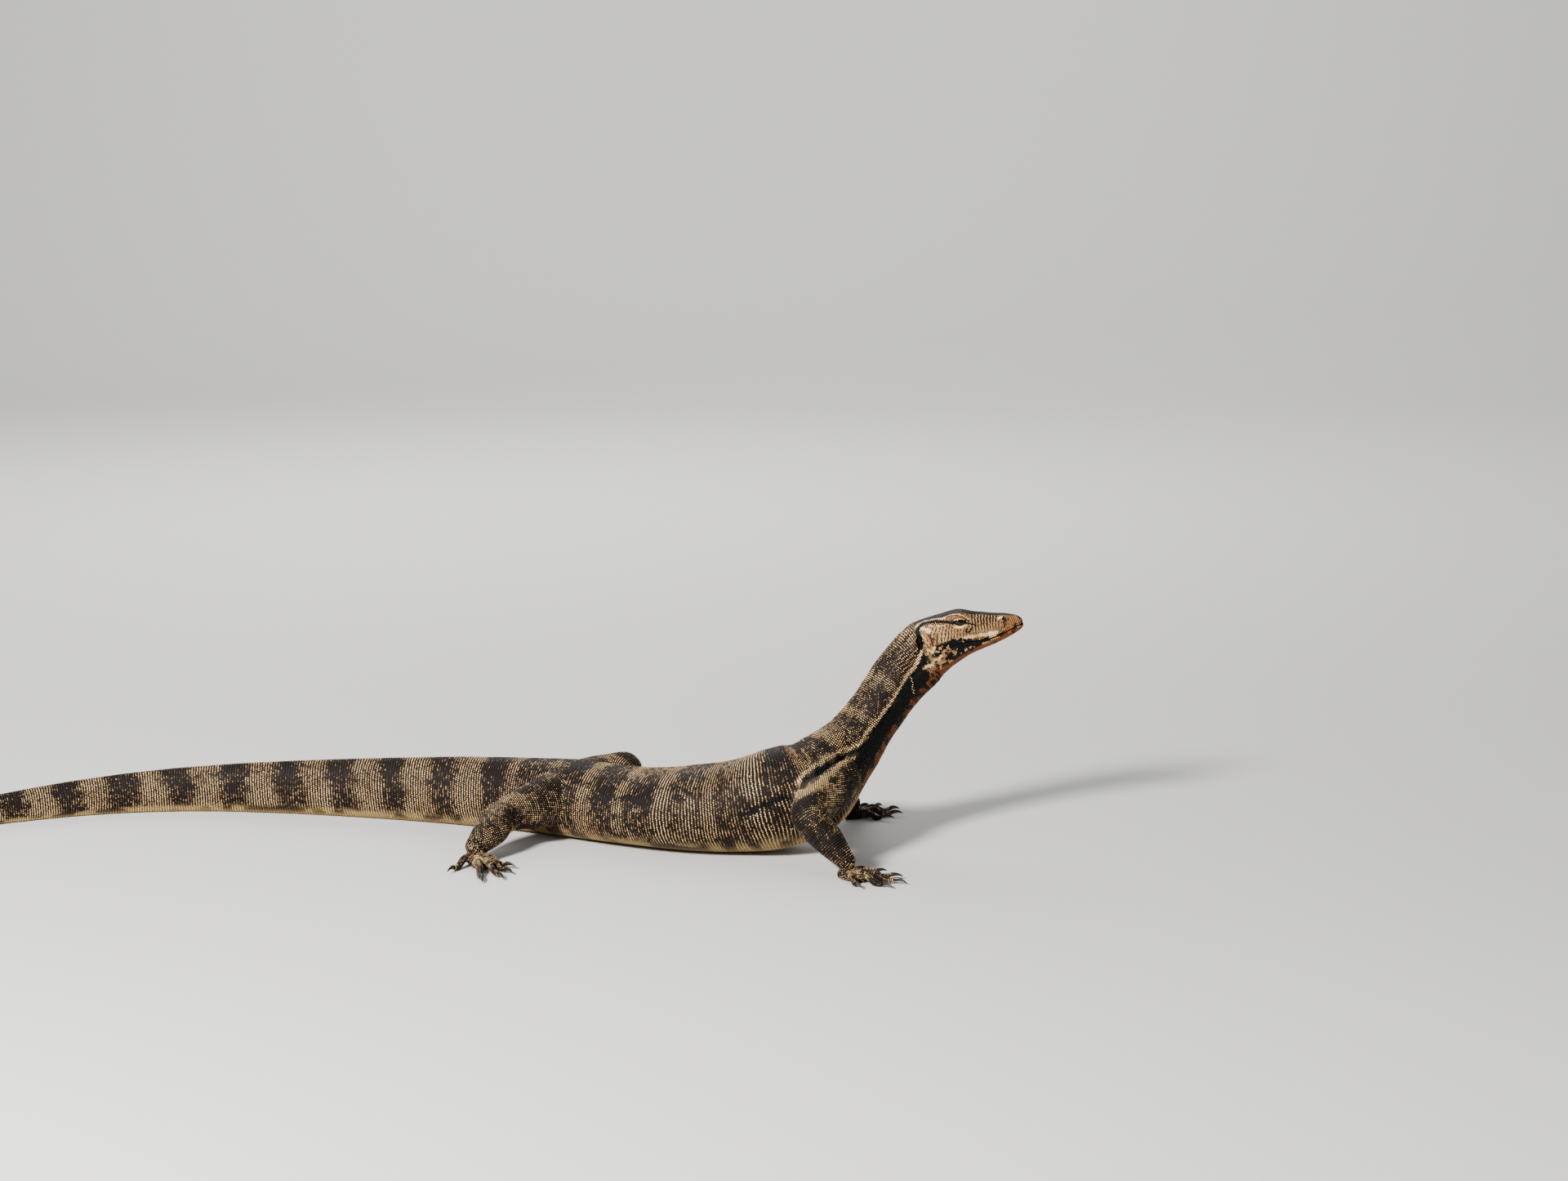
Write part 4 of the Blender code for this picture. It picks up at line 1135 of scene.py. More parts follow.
@dataclass
class Folds:
    """Hollows and ridges in the skin, as distances outwards at each point."""

    spine: SpineForm
    limbs: list
    mouth_depth: float = 1.0
    mouth_width: float = 0.55
    nostril_depth: float = 1.7
    flank_fold: float = 0.35
    flank_pitch: float = 0.0175
    ring_fold: float = 0.22
    ring_pitch: float = 0.0088

    def lift(self, points: Array) -> Array:
        """Return how far the skin is moved outwards at each point."""
        along, angle, _ = self.spine.locate(points)
        x, turn = along * 1000, np.degrees(np.abs(angle))
        local = in_head(points)
        push = np.zeros(len(points))
        head, neck = along < 0.135, (along > 0.10) & (along < 0.31)
        for channels, arc, where in ((EAR_CHANNELS, HEAD_ARC, head), (NECK_CHANNELS, NECK_ARC, neck),
                                     (FLANK_CHANNELS, NECK_ARC, 1)):
            for channel in channels:
                push -= self._depth(x, turn, arc, channel) * where
        mouth = np.exp(-(from_mouth(local) / self.mouth_width) ** 2)
        push -= self.mouth_depth * mouth * (along < 0.09)
        back, _, rise = (local - (NOSTRIL_BACK, 0, NOSTRIL_RISE)).T * 1000
        nostril = np.hypot((back * 0.8 + rise * 0.6) / 1.7, (rise * 0.8 - back * 0.6) / 0.8)
        push -= self.nostril_depth * ease(1.25, 0.6, nostril) * (along < 0.03)
        # The loose hide of the flank lies in shallow upright folds.
        sway = np.sin(math.tau * along / self.flank_pitch + 3.0 * noise(points, 0.05, 42))
        flank = ease(42, 70, turn) * ease(135, 110, turn)
        flank = flank * ease(0.30, 0.33, along) * (along < 0.56)
        push += self.flank_fold * (sway - 0.6) * flank
        # Loose skin gathers in fine rings round the neck.
        ripple = np.sin(math.tau * along / self.ring_pitch + 2.5 * noise(points, 0.03, 41))
        push += self.ring_fold * ripple * ease(0.11, 0.14, along) * ease(0.30, 0.25, along)
        for limb in self.limbs:
            if limb.foot != "hand":
                continue
            place, around, over = limb.locate(points)
            span = np.linalg.norm(np.array(limb.middle - limb.root)) * 1000
            near = (over < 0.012) & (along > 0.2) & (along < 0.36)
            push -= self._depth(place * span, np.degrees(around), ARM_ARC, ARM_POCKET) * near
        return push / 1000

    @staticmethod
    def _depth(x: Array, turn: Array, arc: float, channel: Channel) -> Array:
        """Return how deep a channel is at each point, deepest along its middle."""
        line = from_hide_line(x, turn, arc, channel.places)
        return channel.depth * np.exp(-(line / channel.width) ** 2)

    def sink_eyes(self, points: Array) -> Array:
        """Return the points with the sockets pushed in behind the eyeballs' fronts."""
        moved = points.copy()
        back, left, rise = in_head(points).T
        for side in (1, -1):
            level = almond_level(EYE_BACK - back, rise - EYE_RISE)
            inside = ease(1.12, 0.86, level) * (left * side > 0.006)
            depth = np.minimum(left * side, EYE_SIDE - 0.001)
            new = left * side * (1 - inside) + depth * inside
            sunk = from_head(back, new * side, rise)
            moved = np.where((inside > 0)[:, None], sunk, moved)
        return moved


@dataclass
class Surface:
    """A skin on which scales are set, before and after its folds were pressed in."""

    rest: Array
    final: Array
    triangles: Array
    normals: Array

    def __post_init__(self) -> None:
        """Prepare the search."""
        self.tree = BVHTree.FromPolygons(self.rest.tolist(), self.triangles.tolist())

    def beside_head(self, side: int, back: float, rise: float) -> tuple:
        """Return the place that a ray from beside the head meets, and how far it went."""
        start = head_frame() @ Vector((-back, side * RAY_START, rise))
        place, _, _, away = self.tree.ray_cast(start, head_way(0, -side, 0))
        return place, away

    def drop(self, points: Array) -> tuple[Array, Array, Array]:
        """Set points down on the nearest skin.

        Args:
            points: Places near the skin as it was before the folds.

        Returns:
            Places on the folded skin, the way out of it, and how far each point was away.
        """
        found = [self.tree.find_nearest(point) for point in points.tolist()]
        index = np.array([hit[2] for hit in found])
        place = np.array([hit[0] for hit in found])
        away = np.array([hit[3] for hit in found])
        corners = self.triangles[index]
        a, b, c = (self.rest[corners[:, i]] for i in range(3))
        normal = np.cross(b - a, c - a)
        area = np.maximum((normal * normal).sum(axis=1), 1e-20)
        v = (np.cross(place - a, c - a) * normal).sum(axis=1) / area
        w = (np.cross(b - a, place - a) * normal).sum(axis=1) / area
        weights = columns(1 - v - w, v, w)[..., None]
        return ((self.final[corners] * weights).sum(axis=1),
                unit((self.normals[corners] * weights).sum(axis=1)), away)


@dataclass
class Skin:
    """One closed skin over the whole body, with no seam."""

    spine: SpineForm
    limbs: list
    voxel: float = 0.0013
    kept_share: float = 0.22
    even_steps: int = 6
    crease_steps: int = 26
    smooth_steps: int = 3
    grow: float = 0.5  # share of the way to the neighbours' middle, and the way back out
    shrink: float = 0.52
    sides: int = 112
    head_rings: int = 110
    body_rings: int = 620
    replaced: tuple = ("head", "lower_jaw", "neck", "torso", "tail_root", "tail_middle", "tail_tip")

    def build(self) -> tuple[Object, Surface]:
        """Return the finished skin, and the surface that the scales stand on."""
        points, faces = self._solids()
        skin = mesh_object("skin", points, faces)
        remesh = skin.modifiers.new("remesh", "REMESH")
        remesh.mode = "VOXEL"
        remesh.voxel_size = self.voxel
        settle(skin)
        self._smooth(skin)
        self._thin(skin)
        self._refine_head(skin)
        rest, triangles = mesh_arrays(skin.data)
        folds = Folds(self.spine, self.limbs)
        normals = self._normals(skin.data)
        folded = rest + normals * folds.lift(rest)[:, None]
        folded[:, 2] = np.maximum(folded[:, 2], SKIN_FLOOR)
        set_points(skin.data, folds.sink_eyes(folded))
        skin.data.shade_smooth()
        return skin, Surface(rest, folded, triangles, self._normals(skin.data))

    @staticmethod
    def _normals(mesh: Mesh) -> Array:
        """Return the direction out of the mesh at each of its points."""
        mesh.update()
        return rows_of(mesh.vertex_normals, "vector", 3)

    def _solids(self) -> tuple[Array, list]:
        """Return all the closed forms as one list of points and faces."""
        along = np.concatenate([np.linspace(0.0, 0.12, self.head_rings),
                                np.linspace(0.122, self.spine.length, self.body_rings)])
        angle = whole_turn(self.sides)
        grid = self.spine.points(np.repeat(along, self.sides), np.tile(angle, len(along)), -COAT_DEPTH)
        forms = [loft(grid.reshape(len(along), self.sides, 3))]
        for limb in self.limbs:
            forms += limb.solids(-COAT_DEPTH)
        all_points, all_faces, base = [], [], 0
        for points, faces in forms:
            corners = np.array([face[:3] for face in faces[:-2]])
            turned = [face[::-1] for face in faces] if points_inwards(points, corners) else faces
            all_points.append(points)
            all_faces += [tuple(i + base for i in face) for face in turned]
            base += len(points)
        return np.concatenate(all_points), all_faces

    @staticmethod
    def _pull(co: Array, ends: Array) -> Array:
        """Return the way from each point to the middle of its neighbours."""
        valence = np.maximum(np.bincount(ends.ravel(), minlength=len(co)), 1)
        pull = np.empty_like(co)
        for axis in range(3):
            total = np.bincount(ends[:, 0], co[ends[:, 1], axis], len(co))
            total += np.bincount(ends[:, 1], co[ends[:, 0], axis], len(co))
            pull[:, axis] = total / valence - co[:, axis]
        return pull

    def _smooth(self, skin: Object) -> None:
        """Ease the voxels' steps, most of all in the creases where the legs join the body."""
        mesh = skin.data
        co, _ = mesh_arrays(mesh)
        ends = rows_of(mesh.edges, "vertices", 2, int)
        _, _, height = self.spine.locate(co)
        crease = np.zeros(len(co))
        for limb in self.limbs:
            place, _, over = limb.locate(co)
            near = np.clip(1 - np.abs(over) / 0.012, 0, 1) * np.clip(1 - np.abs(height) / 0.012, 0, 1)
            crease = np.maximum(crease, near * (place < 1.2))
        crease = ease(0.1, 0.6, crease)[:, None] * 0.5
        for _ in range(self.even_steps):
            co = co + self.grow * self._pull(co, ends)
            co = co - self.shrink * self._pull(co, ends)
        for _ in range(self.crease_steps):
            co = co + crease * self._pull(co, ends)
        co[:, 2] = np.maximum(co[:, 2], SKIN_FLOOR)
        set_points(mesh, co)

    def _thin(self, skin: Object) -> None:
        """Use fewer faces where the form is plain, and keep them all on the head and feet."""
        co, _ = mesh_arrays(skin.data)
        along, _, _ = self.spine.locate(co)
        plain = ease(0.118, 0.135, along)
        for limb in self.limbs:
            plain *= ease(0.050, 0.065, limb.from_foot(co, 0.02, 0.005))
        group = skin.vertex_groups.new(name="plain")
        for level in range(1, 11):
            chosen = np.where(np.round(plain * 10) == level)[0]
            if len(chosen):
                group.add(chosen.tolist(), level / 10, "REPLACE")
        thin = skin.modifiers.new("thin", "DECIMATE")
        thin.ratio = self.kept_share
        thin.vertex_group = group.name
        settle(skin)
        skin.vertex_groups.clear()

    def _refine_head(self, skin: Object) -> None:
        """Split each face of the head in four, for the lips, nostrils and sockets."""
        form = bmesh.new()
        form.from_mesh(skin.data)
        co = np.array([vert.co for vert in form.verts])
        along, _, _ = self.spine.locate(co)
        head = along < 0.112
        edges = [edge for edge in form.edges if all(head[vert.index] for vert in edge.verts)]
        bmesh.ops.subdivide_edges(form, edges=edges, cuts=1, use_grid_fill=True)
        bmesh.ops.triangulate(form, faces=[face for face in form.faces if len(face.verts) > 3])
        form.to_mesh(skin.data)
        form.free()
        co, _ = mesh_arrays(skin.data)
        ends = rows_of(skin.data.edges, "vertices", 2, int)
        along, _, _ = self.spine.locate(co)
        head = (ease(0.120, 0.110, along) * self.grow)[:, None]
        for _ in range(self.smooth_steps):
            co = co + head * self._pull(co, ends)
            co = co - head * 1.04 * self._pull(co, ends)
        set_points(skin.data, co)


def paint(target: Mesh, colours: Array) -> None:
    """Store one colour for each point of a mesh, as the attribute named marks."""
    layer = target.attributes.get("marks") or target.attributes.new("marks", "FLOAT_COLOR", "POINT")
    layer.data.foreach_set("color", np.column_stack([colours, np.ones(len(colours))]).ravel())


@dataclass(frozen=True)
class Hide:
    """Leathery skin or its scales, coloured by the markings with their painted shade and highlights."""

    name: str
    roughness: float = 0.5
    grain_scale: float = 900.0
    darkest: float = 0.75
    palest: float = 1.12
    cells: float = 0.0
    bump: float = 0.25
    specular: float = 0.40

    def build(self) -> Material:
        """Return the material."""
        made, tree = new_material(self.name)
        marks = add_node(tree, "ShaderNodeAttribute", attribute_name="marks")
        place = add_node(tree, "ShaderNodeTexCoord").outputs["Object"]
        grain = add_node(tree, "ShaderNodeTexNoise",
                         {"Vector": place, "Scale": self.grain_scale, "Detail": 4.0})
        shade = add_node(tree, "ShaderNodeMapRange", {"Value": grain, "From Min": 0.3, "From Max": 0.7,
                                                      "To Min": self.darkest, "To Max": self.palest})
        colour = add_node(tree, "ShaderNodeVectorMath", {0: marks, "Scale": shade}, operation="SCALE")
        height = grain
        if self.cells:
            granules = add_node(tree, "ShaderNodeTexVoronoi", {"Vector": place, "Scale": self.cells})
            height = add_node(tree, "ShaderNodeMath", {0: 1.0, 1: granules}, operation="SUBTRACT")
        lift = add_node(tree, "ShaderNodeBump",
                        {"Height": height, "Strength": self.bump, "Distance": 0.0003})
        feed(tree, tree.nodes["Principled BSDF"],
             {"Base Color": colour, "Normal": lift, "Roughness": self.roughness,
              "Specular IOR Level": self.specular})
        return made


@dataclass
class Roots:
    """Where scales stand. A lie, size, pitch or distance given once holds for every scale."""

    place: Array
    out: Array
    lie: Array
    size: Array
    chart: Array
    pitch: Array
    away: Array

    def __post_init__(self) -> None:
        """Repeat what is given once."""
        count = len(self.place)
        self.lie, self.size = (np.broadcast_to(given, (count, 3)) for given in (self.lie, self.size))
        self.pitch, self.away = (np.broadcast_to(given, count) for given in (self.pitch, self.away))

    def chosen(self, keep: Array) -> "Roots":
        """Return the roots that a mask or a list of numbers picks."""
        return Roots(*(getattr(self, name)[keep] for name in self.__dataclass_fields__))

    @staticmethod
    def joined(parts: list) -> "Roots":
        """Return several lists of roots as one."""
        return Roots(*(np.concatenate([getattr(part, name) for part in parts])
                       for name in Roots.__dataclass_fields__))


@dataclass(frozen=True)
class ScaleForm:
    """The shape of one scale, one unit long, wide and high, sunk a little into the skin."""

    name: str
    outline: tuple = ((0, 0.5), (0.5, 0.27), (0.5, -0.27), (0, -0.5), (-0.5, -0.27), (-0.5, 0.27))
    shoulder: tuple = (0.72, 0.72)
    shoulder_height: float = 0.76
    sink: float = 0.5
    core: tuple = (0.0, 0.85, 1.0)

    @property
    def sides(self) -> int:
        """Return the number of sides."""
        return len(self.outline)

    @property
    def points(self) -> int:
        """Return the number of points in the shape."""
        return 2 * self.sides + 1

    @property
    def triangles(self) -> int:
        """Return the number of triangles in the shape."""
        return 4 * self.sides - 2

    def build(self) -> Object:
        """Return the shape as an object: X across the body, Y along its lie and Z outwards."""
        ring = np.array(self.outline)
        low = np.column_stack([ring, np.full(self.sides, -self.sink)])
        high = np.column_stack([ring * np.array(self.shoulder), np.full(self.sides, self.shoulder_height)])
        points = np.concatenate([low, high, [(0, 0, 1.0)]])
        n = self.sides
        faces = ring_faces(2, n)
        faces += [(n + i, n + (i + 1) % n, 2 * n) for i in range(n)]
        faces.append(tuple(range(n))[::-1])
        return mesh_object(self.name, points, faces)

    def ring_of(self, count: int) -> Array:
        """Return the share of the scale's own colour at each point of many scales."""
        one = np.repeat(self.core, (self.sides, self.sides, 1))
        return np.tile(one, count)


class ScatterTree:
    """A node tree that sets a scale on each point, makes it real and gives it a material."""

    def __init__(self) -> None:
        """Build the tree."""
        tree = bpy.data.node_groups.new("set_scales", "GeometryNodeTree")
        tree.is_modifier = True
        sockets = (("Geometry", "NodeSocketGeometry", None), ("Scale shape", "NodeSocketObject", None),
                   ("Size", "NodeSocketFloat", 1.0), ("Size spread", "NodeSocketFloat", 0.13),
                   ("Turn spread", "NodeSocketFloat", 0.20), ("Seed", "NodeSocketInt", 7),
                   ("Finish", "NodeSocketMaterial", None))
        self.keys = {}
        for name, kind, value in sockets:
            socket = tree.interface.new_socket(name, in_out="INPUT", socket_type=kind)
            if value is not None:
                socket.default_value = value
            self.keys[name] = socket.identifier
        tree.interface.new_socket("Geometry", in_out="OUTPUT", socket_type="NodeSocketGeometry")
        self.tree = tree
        self._fill()

    def _fill(self) -> None:
        """Add the nodes and join them."""
        tree = self.tree
        start = add_node(tree, "NodeGroupInput").outputs
        out, lie, size = (add_node(tree, "GeometryNodeInputNamedAttribute", {"Name": name},
                                   data_type="FLOAT_VECTOR") for name in ("out", "lie", "size"))
        turn = add_node(tree, "FunctionNodeAxesToRotation", {"Primary Axis": out, "Secondary Axis": lie},
                        primary_axis="Z", secondary_axis="Y")
        angles = add_node(tree, "ShaderNodeCombineXYZ", {"Z": self._spread(start, "Turn spread")})
        swing = add_node(tree, "FunctionNodeEulerToRotation", {"Euler": angles})
        turned = add_node(tree, "FunctionNodeRotateRotation", {"Rotation": turn, "Rotate By": swing},
                          rotation_space="LOCAL")
        grow = add_node(tree, "ShaderNodeMath", {0: start["Size"], 1: self._spread(start, "Size spread")},
                        operation="ADD")
        sized = add_node(tree, "ShaderNodeVectorMath", {0: size, "Scale": grow}, operation="SCALE")
        shape = add_node(tree, "GeometryNodeObjectInfo",
                         {"Object": start["Scale shape"], "As Instance": True})
        cloud = add_node(tree, "GeometryNodeMeshToPoints", {"Mesh": start["Geometry"]})
        scales = add_node(tree, "GeometryNodeInstanceOnPoints",
                          {"Points": cloud, "Instance": shape.outputs["Geometry"],
                           "Rotation": turned, "Scale": sized})
        real = add_node(tree, "GeometryNodeRealizeInstances", {"Geometry": scales})
        finish = add_node(tree, "GeometryNodeSetMaterial",
                          {"Geometry": real, "Material": start["Finish"]})
        add_node(tree, "NodeGroupOutput", {"Geometry": finish})

    def _spread(self, start: bpy_prop_collection, name: str) -> Node:
        """Return a random value between minus and plus the named input."""
        less = add_node(self.tree, "ShaderNodeMath", {0: start[name], 1: -1.0}, operation="MULTIPLY")
        return add_node(self.tree, "FunctionNodeRandomValue",
                        {2: less, 3: start[name], "Seed": start["Seed"]}, data_type="FLOAT")

    def grow(self, name: str, roots: Roots, form: ScaleForm, shape: Object,
             finish: Material, seed: int) -> Object:
        """Set scales on roots and return them as one plain mesh.

        Args:
            name: Name of the piece.
            roots: Where the scales stand.
            form: The form of one scale.
            shape: The object that carries the form.
            finish: The material.
            seed: Seed of the small random turns and sizes.

        Returns:
            The finished piece.
        """
        mesh = bpy.data.meshes.new(name)
        mesh.from_pydata(roots.place.tolist(), [], [])
        for key, values in (("out", roots.out), ("lie", roots.lie), ("size", roots.size)):
            layer = mesh.attributes.new(key, "FLOAT_VECTOR", "POINT")
            layer.data.foreach_set("vector", np.ascontiguousarray(values, float).ravel())
        piece = add_object(name, mesh)
        nodes = piece.modifiers.new("scales", "NODES")
        nodes.node_group = self.tree
        nodes[self.keys["Scale shape"]] = shape
        nodes[self.keys["Finish"]] = finish
        nodes[self.keys["Seed"]] = seed
        settle(piece)
        made = piece.data
        for key in ("out", "lie", "size"):
            layer = made.attributes.get(key)
            if layer is not None:
                made.attributes.remove(layer)
        count = len(made.vertices) // form.points
        if count != len(roots.place):
            raise ValueError(f"{name}: {count} scales from {len(roots.place)} roots")
        return piece


@dataclass
class Coat:
    """All the scales, in rows across the body and round each leg and toe."""

    spine: SpineForm
    limbs: list
    surface: Surface
    marks: MarkingsAndShade
    pitch_places: tuple = (0.0, 0.02, 0.06, 0.10, 0.13, 0.25, 0.33, 0.57, 0.80, 1.49)
    row_pitch: tuple = (1.3, 1.4, 1.55, 1.65, 2.05, 2.35, 2.65, 2.8, 2.8, 2.2)
    side_pitch: tuple = (1.3, 1.45, 1.55, 1.7, 2.05, 2.3, 2.35, 2.4, 2.1, 1.6)
    long_fill: tuple = (0.92, 0.92, 0.84, 0.80, 0.80, 0.78, 0.68, 0.70, 0.76, 0.88)
    side_fill: tuple = (0.92, 0.94, 0.98, 0.92, 0.72, 0.70, 0.92, 0.96, 0.96, 0.94)
    sway: float = 0.0011  # how far a row wanders along the body
    height: tuple = (0.13, 0.15, 0.18, 0.20, 0.32, 0.40, 0.42, 0.42, 0.38, 0.22)
    leg_pitch: float = 2.35
    leg_fill: tuple = (0.76, 0.74, 0.18)  # width, length and height, in shares of the pitch
    crowding: float = 0.8  # how much closer rings stand where a leg bends
    most_curl: float = 1.2
    toe_pitch: float = 1.9
    toe_steps: int = 40
    toe_bare: tuple = (0.004, 0.0008)  # what the rings leave free at a toe's root and tip
    ring_steps: int = 121  # places at which the way round the body is measured
    jitter: float = 0.09  # how far a scale strays, in shares of a pitch
    head_end: float = 0.104
    neck_end: float = 0.262
    foot_reach: float = 0.062
    toe_scale_height: float = 0.00034
    toe_turns: tuple = (0, 52, 97, 140, 180, 220, 263, 308)  # one scale on top, and round to it
    toe_widths: tuple = (1.04, 0.70, 0.62, 0.60, 0.60, 0.60, 0.62, 0.70)
    lip_pitch: float = 0.0021
    lip_reach: tuple = (0.0035, 0.0775)  # where the rows on the lips start and end
    lip_width: float = 0.00195
    lip_room: float = 0.0019  # what a plate keeps free round itself
    lips: tuple = ((0.00135, 0.0017, 0.0), (-0.00140, 0.0018, 0.0010))  # rise, width, shift back
    bare_eye: tuple = (1.42, 1.75)  # length and height of the bare place, in eye openings
    bare_lip: float = 2.35  # millimetres from the mouth's line that the rows leave bare
    bare_nostril: float = 0.0019
    bare_ear: float = 2.9
    least_gap: float = 0.72  # of a pitch, where two sets of rows meet
    fill_gap: float = 0.76
    fill_cell: float = 0.003
    # On the fold's crest the pale colour of the scales is a painted highlight.
    fold_swell: float = 0.32  # how much wider scales grow on the pale fold
    reach: float = 0.0021  # how far from the skin a row may run
    seed: int = 5
    patch: float = 0.003  # width of a scale's patch on the map OFBake
    most_triangles: int = 190000

    def build(self) -> list:
        """Return the pieces of the coat."""
        rng = np.random.default_rng(self.seed)
        body = Roots.joined([self._on_skin(self._spine_rows(rng)), self._lip_rows()])
        legs = []
        for limb in self.limbs:
            rows = Roots.joined([self._leg_rows(limb)] + self._toe_rows(limb))
            legs.append(self._on_skin(rows))
        along, turn, _ = self.spine.locate(body.place)
        near = from_hide_line(along * 1000, np.degrees(np.abs(turn)), NECK_ARC, FOLD_CREST_HIGHLIGHT)
        swell = 1 + self.fold_swell * ease(2.2, 1.2, near)
        body.size = body.size * columns(swell, swell, 1.0)
        body, legs = self._part(body, legs)
        everything = Roots.joined([body] + legs)
        extra = self._fill(everything, rng)
        LOG.info("scales: %d in rows on the body, %s on the legs, %d between", len(body.place),
                 [len(leg.place) for leg in legs], len(extra.place))
        return self._pieces(body, legs, extra)

    def _spine_rows(self, rng: np.random.Generator) -> Roots:
        """Return roots in rings from the snout to the tip of the tail."""
        angles = np.linspace(0, math.tau, self.ring_steps)
        parts = []
        at, odd = 0.0022, 0
        while at < self.spine.length - 0.003:
            row, side = (np.interp(at, self.pitch_places, values) / 1000
                         for values in (self.row_pitch, self.side_pitch))
            run = run_along(self.spine.points(np.full(self.ring_steps, at), angles))
            count = max(6, round(run[-1] / side))
            steps = (np.arange(count) + 0.5 * odd) / count * run[-1]
            turn = np.interp(steps, run, angles)
            spot = self.spine.points(np.full(count, at), turn)
            waved = at + self.sway * 2 * (noise(spot, 0.022, 51) - 0.5) * min(at / 0.1, 1)
            waved = waved + rng.uniform(-self.jitter, self.jitter, count) * row
            turn = turn + rng.uniform(-self.jitter, self.jitter, count) * math.tau / count
            ahead = self.spine.points(np.clip(waved - row / 2, 0, None), turn)
            behind = self.spine.points(waved + row / 2, turn)
            lie = behind - ahead
            length = np.linalg.norm(lie, axis=1)
            share = [np.interp(at, self.pitch_places, values)
                     for values in (self.long_fill, self.side_fill, self.height)]
            size = columns(run[-1] / count * share[1], np.minimum(length, row * 1.3) * share[0],
                           share[2] / 1000)
            parts.append(Roots((ahead + behind) / 2, lie, unit(lie), size,
                               columns(at, turn), (row + side) / 2, 0.0))
            at += row
            odd = 1 - odd
        return Roots.joined(parts)

    def _lip_rows(self) -> Roots:
        """Return the rows of plates along the upper and the lower lip."""
        backs, rises = zip(*MOUTH_LINE)
        parts = []
        for side in (1, -1):
            for offset, tall, shift in self.lips:
                back = np.arange(*self.lip_reach, self.lip_pitch) + shift
                rise = np.interp(back, backs, rises) + offset
                met = [self.surface.beside_head(side, *spot)[0] for spot in columns(back, rise).tolist()]
                place, out, away = self.surface.drop(np.array([hit for hit in met if hit is not None]))
                along, turn, _ = self.spine.locate(place)
                size = (tall, self.lip_width, self.toe_scale_height)
                parts.append(Roots(place, out, head_way(-1, 0, 0), size, columns(along, turn),
                                   self.lip_room, away))
        return Roots.joined(parts)

    def _leg_rows(self, limb: LimbForm) -> Roots:
        """Return roots in rings down a leg."""
        steps = np.linalg.norm(np.diff(limb.path, axis=0), axis=1)
        run = run_along(limb.path)
        pitch = self.leg_pitch / 1000
        bend = np.linalg.norm(np.diff(limb.forward, axis=0), axis=1) / steps
        reaches = [pitch / 2]
        while reaches[-1] < run[-1]:
            reach = reaches[-1]
            curl = np.interp(reach, run[1:], bend) * np.interp(reach, run, limb.radii)
            reaches.append(reach + pitch / (1 + self.crowding * min(curl, self.most_curl)))
        parts = []
        for i, reach in enumerate(reaches[:-1]):
            centre, forward, wide, tall = (read_path(reach, run, values) for values in
                                           (limb.path, limb.forward, limb.wide, limb.tall))
            radius = np.interp(reach, run, limb.radii)
            count = max(8, round(math.tau * radius / pitch))
            turn = (np.arange(count) + 0.5 * (i % 2)) / count * math.tau
            around = np.outer(np.cos(turn), wide) + np.outer(np.sin(turn), tall)
            chart = columns(np.interp(reach, run, limb.at) / 2, 0.02 + 0.46 * turn / math.tau)
            parts.append(Roots(centre + around * radius, around, forward,
                               np.array(self.leg_fill) * pitch, chart, pitch, 0.0))
        return Roots.joined(parts)

    def _toe_rows(self, limb: LimbForm) -> list:
        """Return roots in rings along each toe, wide on top and small beneath."""
        pitch = self.toe_pitch / 1000
        up = np.array((0.0, 0.0, 1.0))
        parts = []
        for digit in DIGITS[limb.foot]:
            path, radii = limb.digit_path(digit, self.toe_steps)
            run = run_along(path)
            for reach in np.arange(self.toe_bare[0], run[-1] - self.toe_bare[1], pitch):
                centre = read_path(reach, run, path)
                index = min(np.searchsorted(run, reach), self.toe_steps - 2)
                forward = unit(path[index + 1] - path[index])
                radius = np.interp(reach, run, radii)
                side = unit(np.cross(up, forward))
                top = np.cross(forward, side)
                turn = np.radians(np.array(self.toe_turns))
                wide = np.array(self.toe_widths) * radius
                around = np.outer(np.cos(turn), top) + np.outer(np.sin(turn), side)
                size = columns(wide, pitch * 0.92, self.toe_scale_height)
                place = centre + around * radius
                parts.append(Roots(place, around, forward, size,
                                   self._foot_chart(limb, place, around[:, 2]), pitch, 0.0))
        return parts

    @staticmethod
    def _foot_chart(limb: LimbForm, place: Array, upward: Array) -> Array:
        """Return places on the unwrap of a foot: its top and its sole side by side."""
        ahead, outward, _ = placed(place, limb.frame.inverted()).T
        u = np.clip((ahead + 0.035) / 0.14, 0, 1)
        v = np.clip((outward + 0.05) / 0.10, 0, 1) * 0.22
        return columns(u, np.where(upward > 0, 0.52, 0.76) + v)

    def _on_skin(self, roots: Roots) -> Roots:
        """Set roots down on the skin, and drop those that are too far from it or in an opening."""
        place, out, away = self.surface.drop(roots.place)
        roots = replace(roots, place=place, out=out, away=away)
        return roots.chosen((away < self.reach) & self._open(place))

    def _open(self, place: Array) -> Array:
        """Return True where a scale may stand: not in an eye, a nostril, the ear or the mouth."""
        local = in_head(place)
        back, left, rise = local.T
        long, tall = self.bare_eye
        eye = almond_level((EYE_BACK - back) / long, (rise - EYE_RISE) / tall) < 1
        eye &= np.abs(left) > 0.008
        lips = (from_mouth(local) < self.bare_lip) & (back > -0.002) & (back < 0.078)
        nostril = np.hypot(back - NOSTRIL_BACK, rise - NOSTRIL_RISE) < self.bare_nostril
        nostril &= np.abs(left) > 0.006
        along, angle, _ = self.spine.locate(place)
        ear = distance_to_line(along * 1000, np.degrees(np.abs(angle)) * HEAD_ARC,
                               [(103.4, 20.4), (104.0, 22.0), (105.2, 24.8)]) < self.bare_ear
        return ~((back < 0.125) & (eye | lips | nostril | ear))

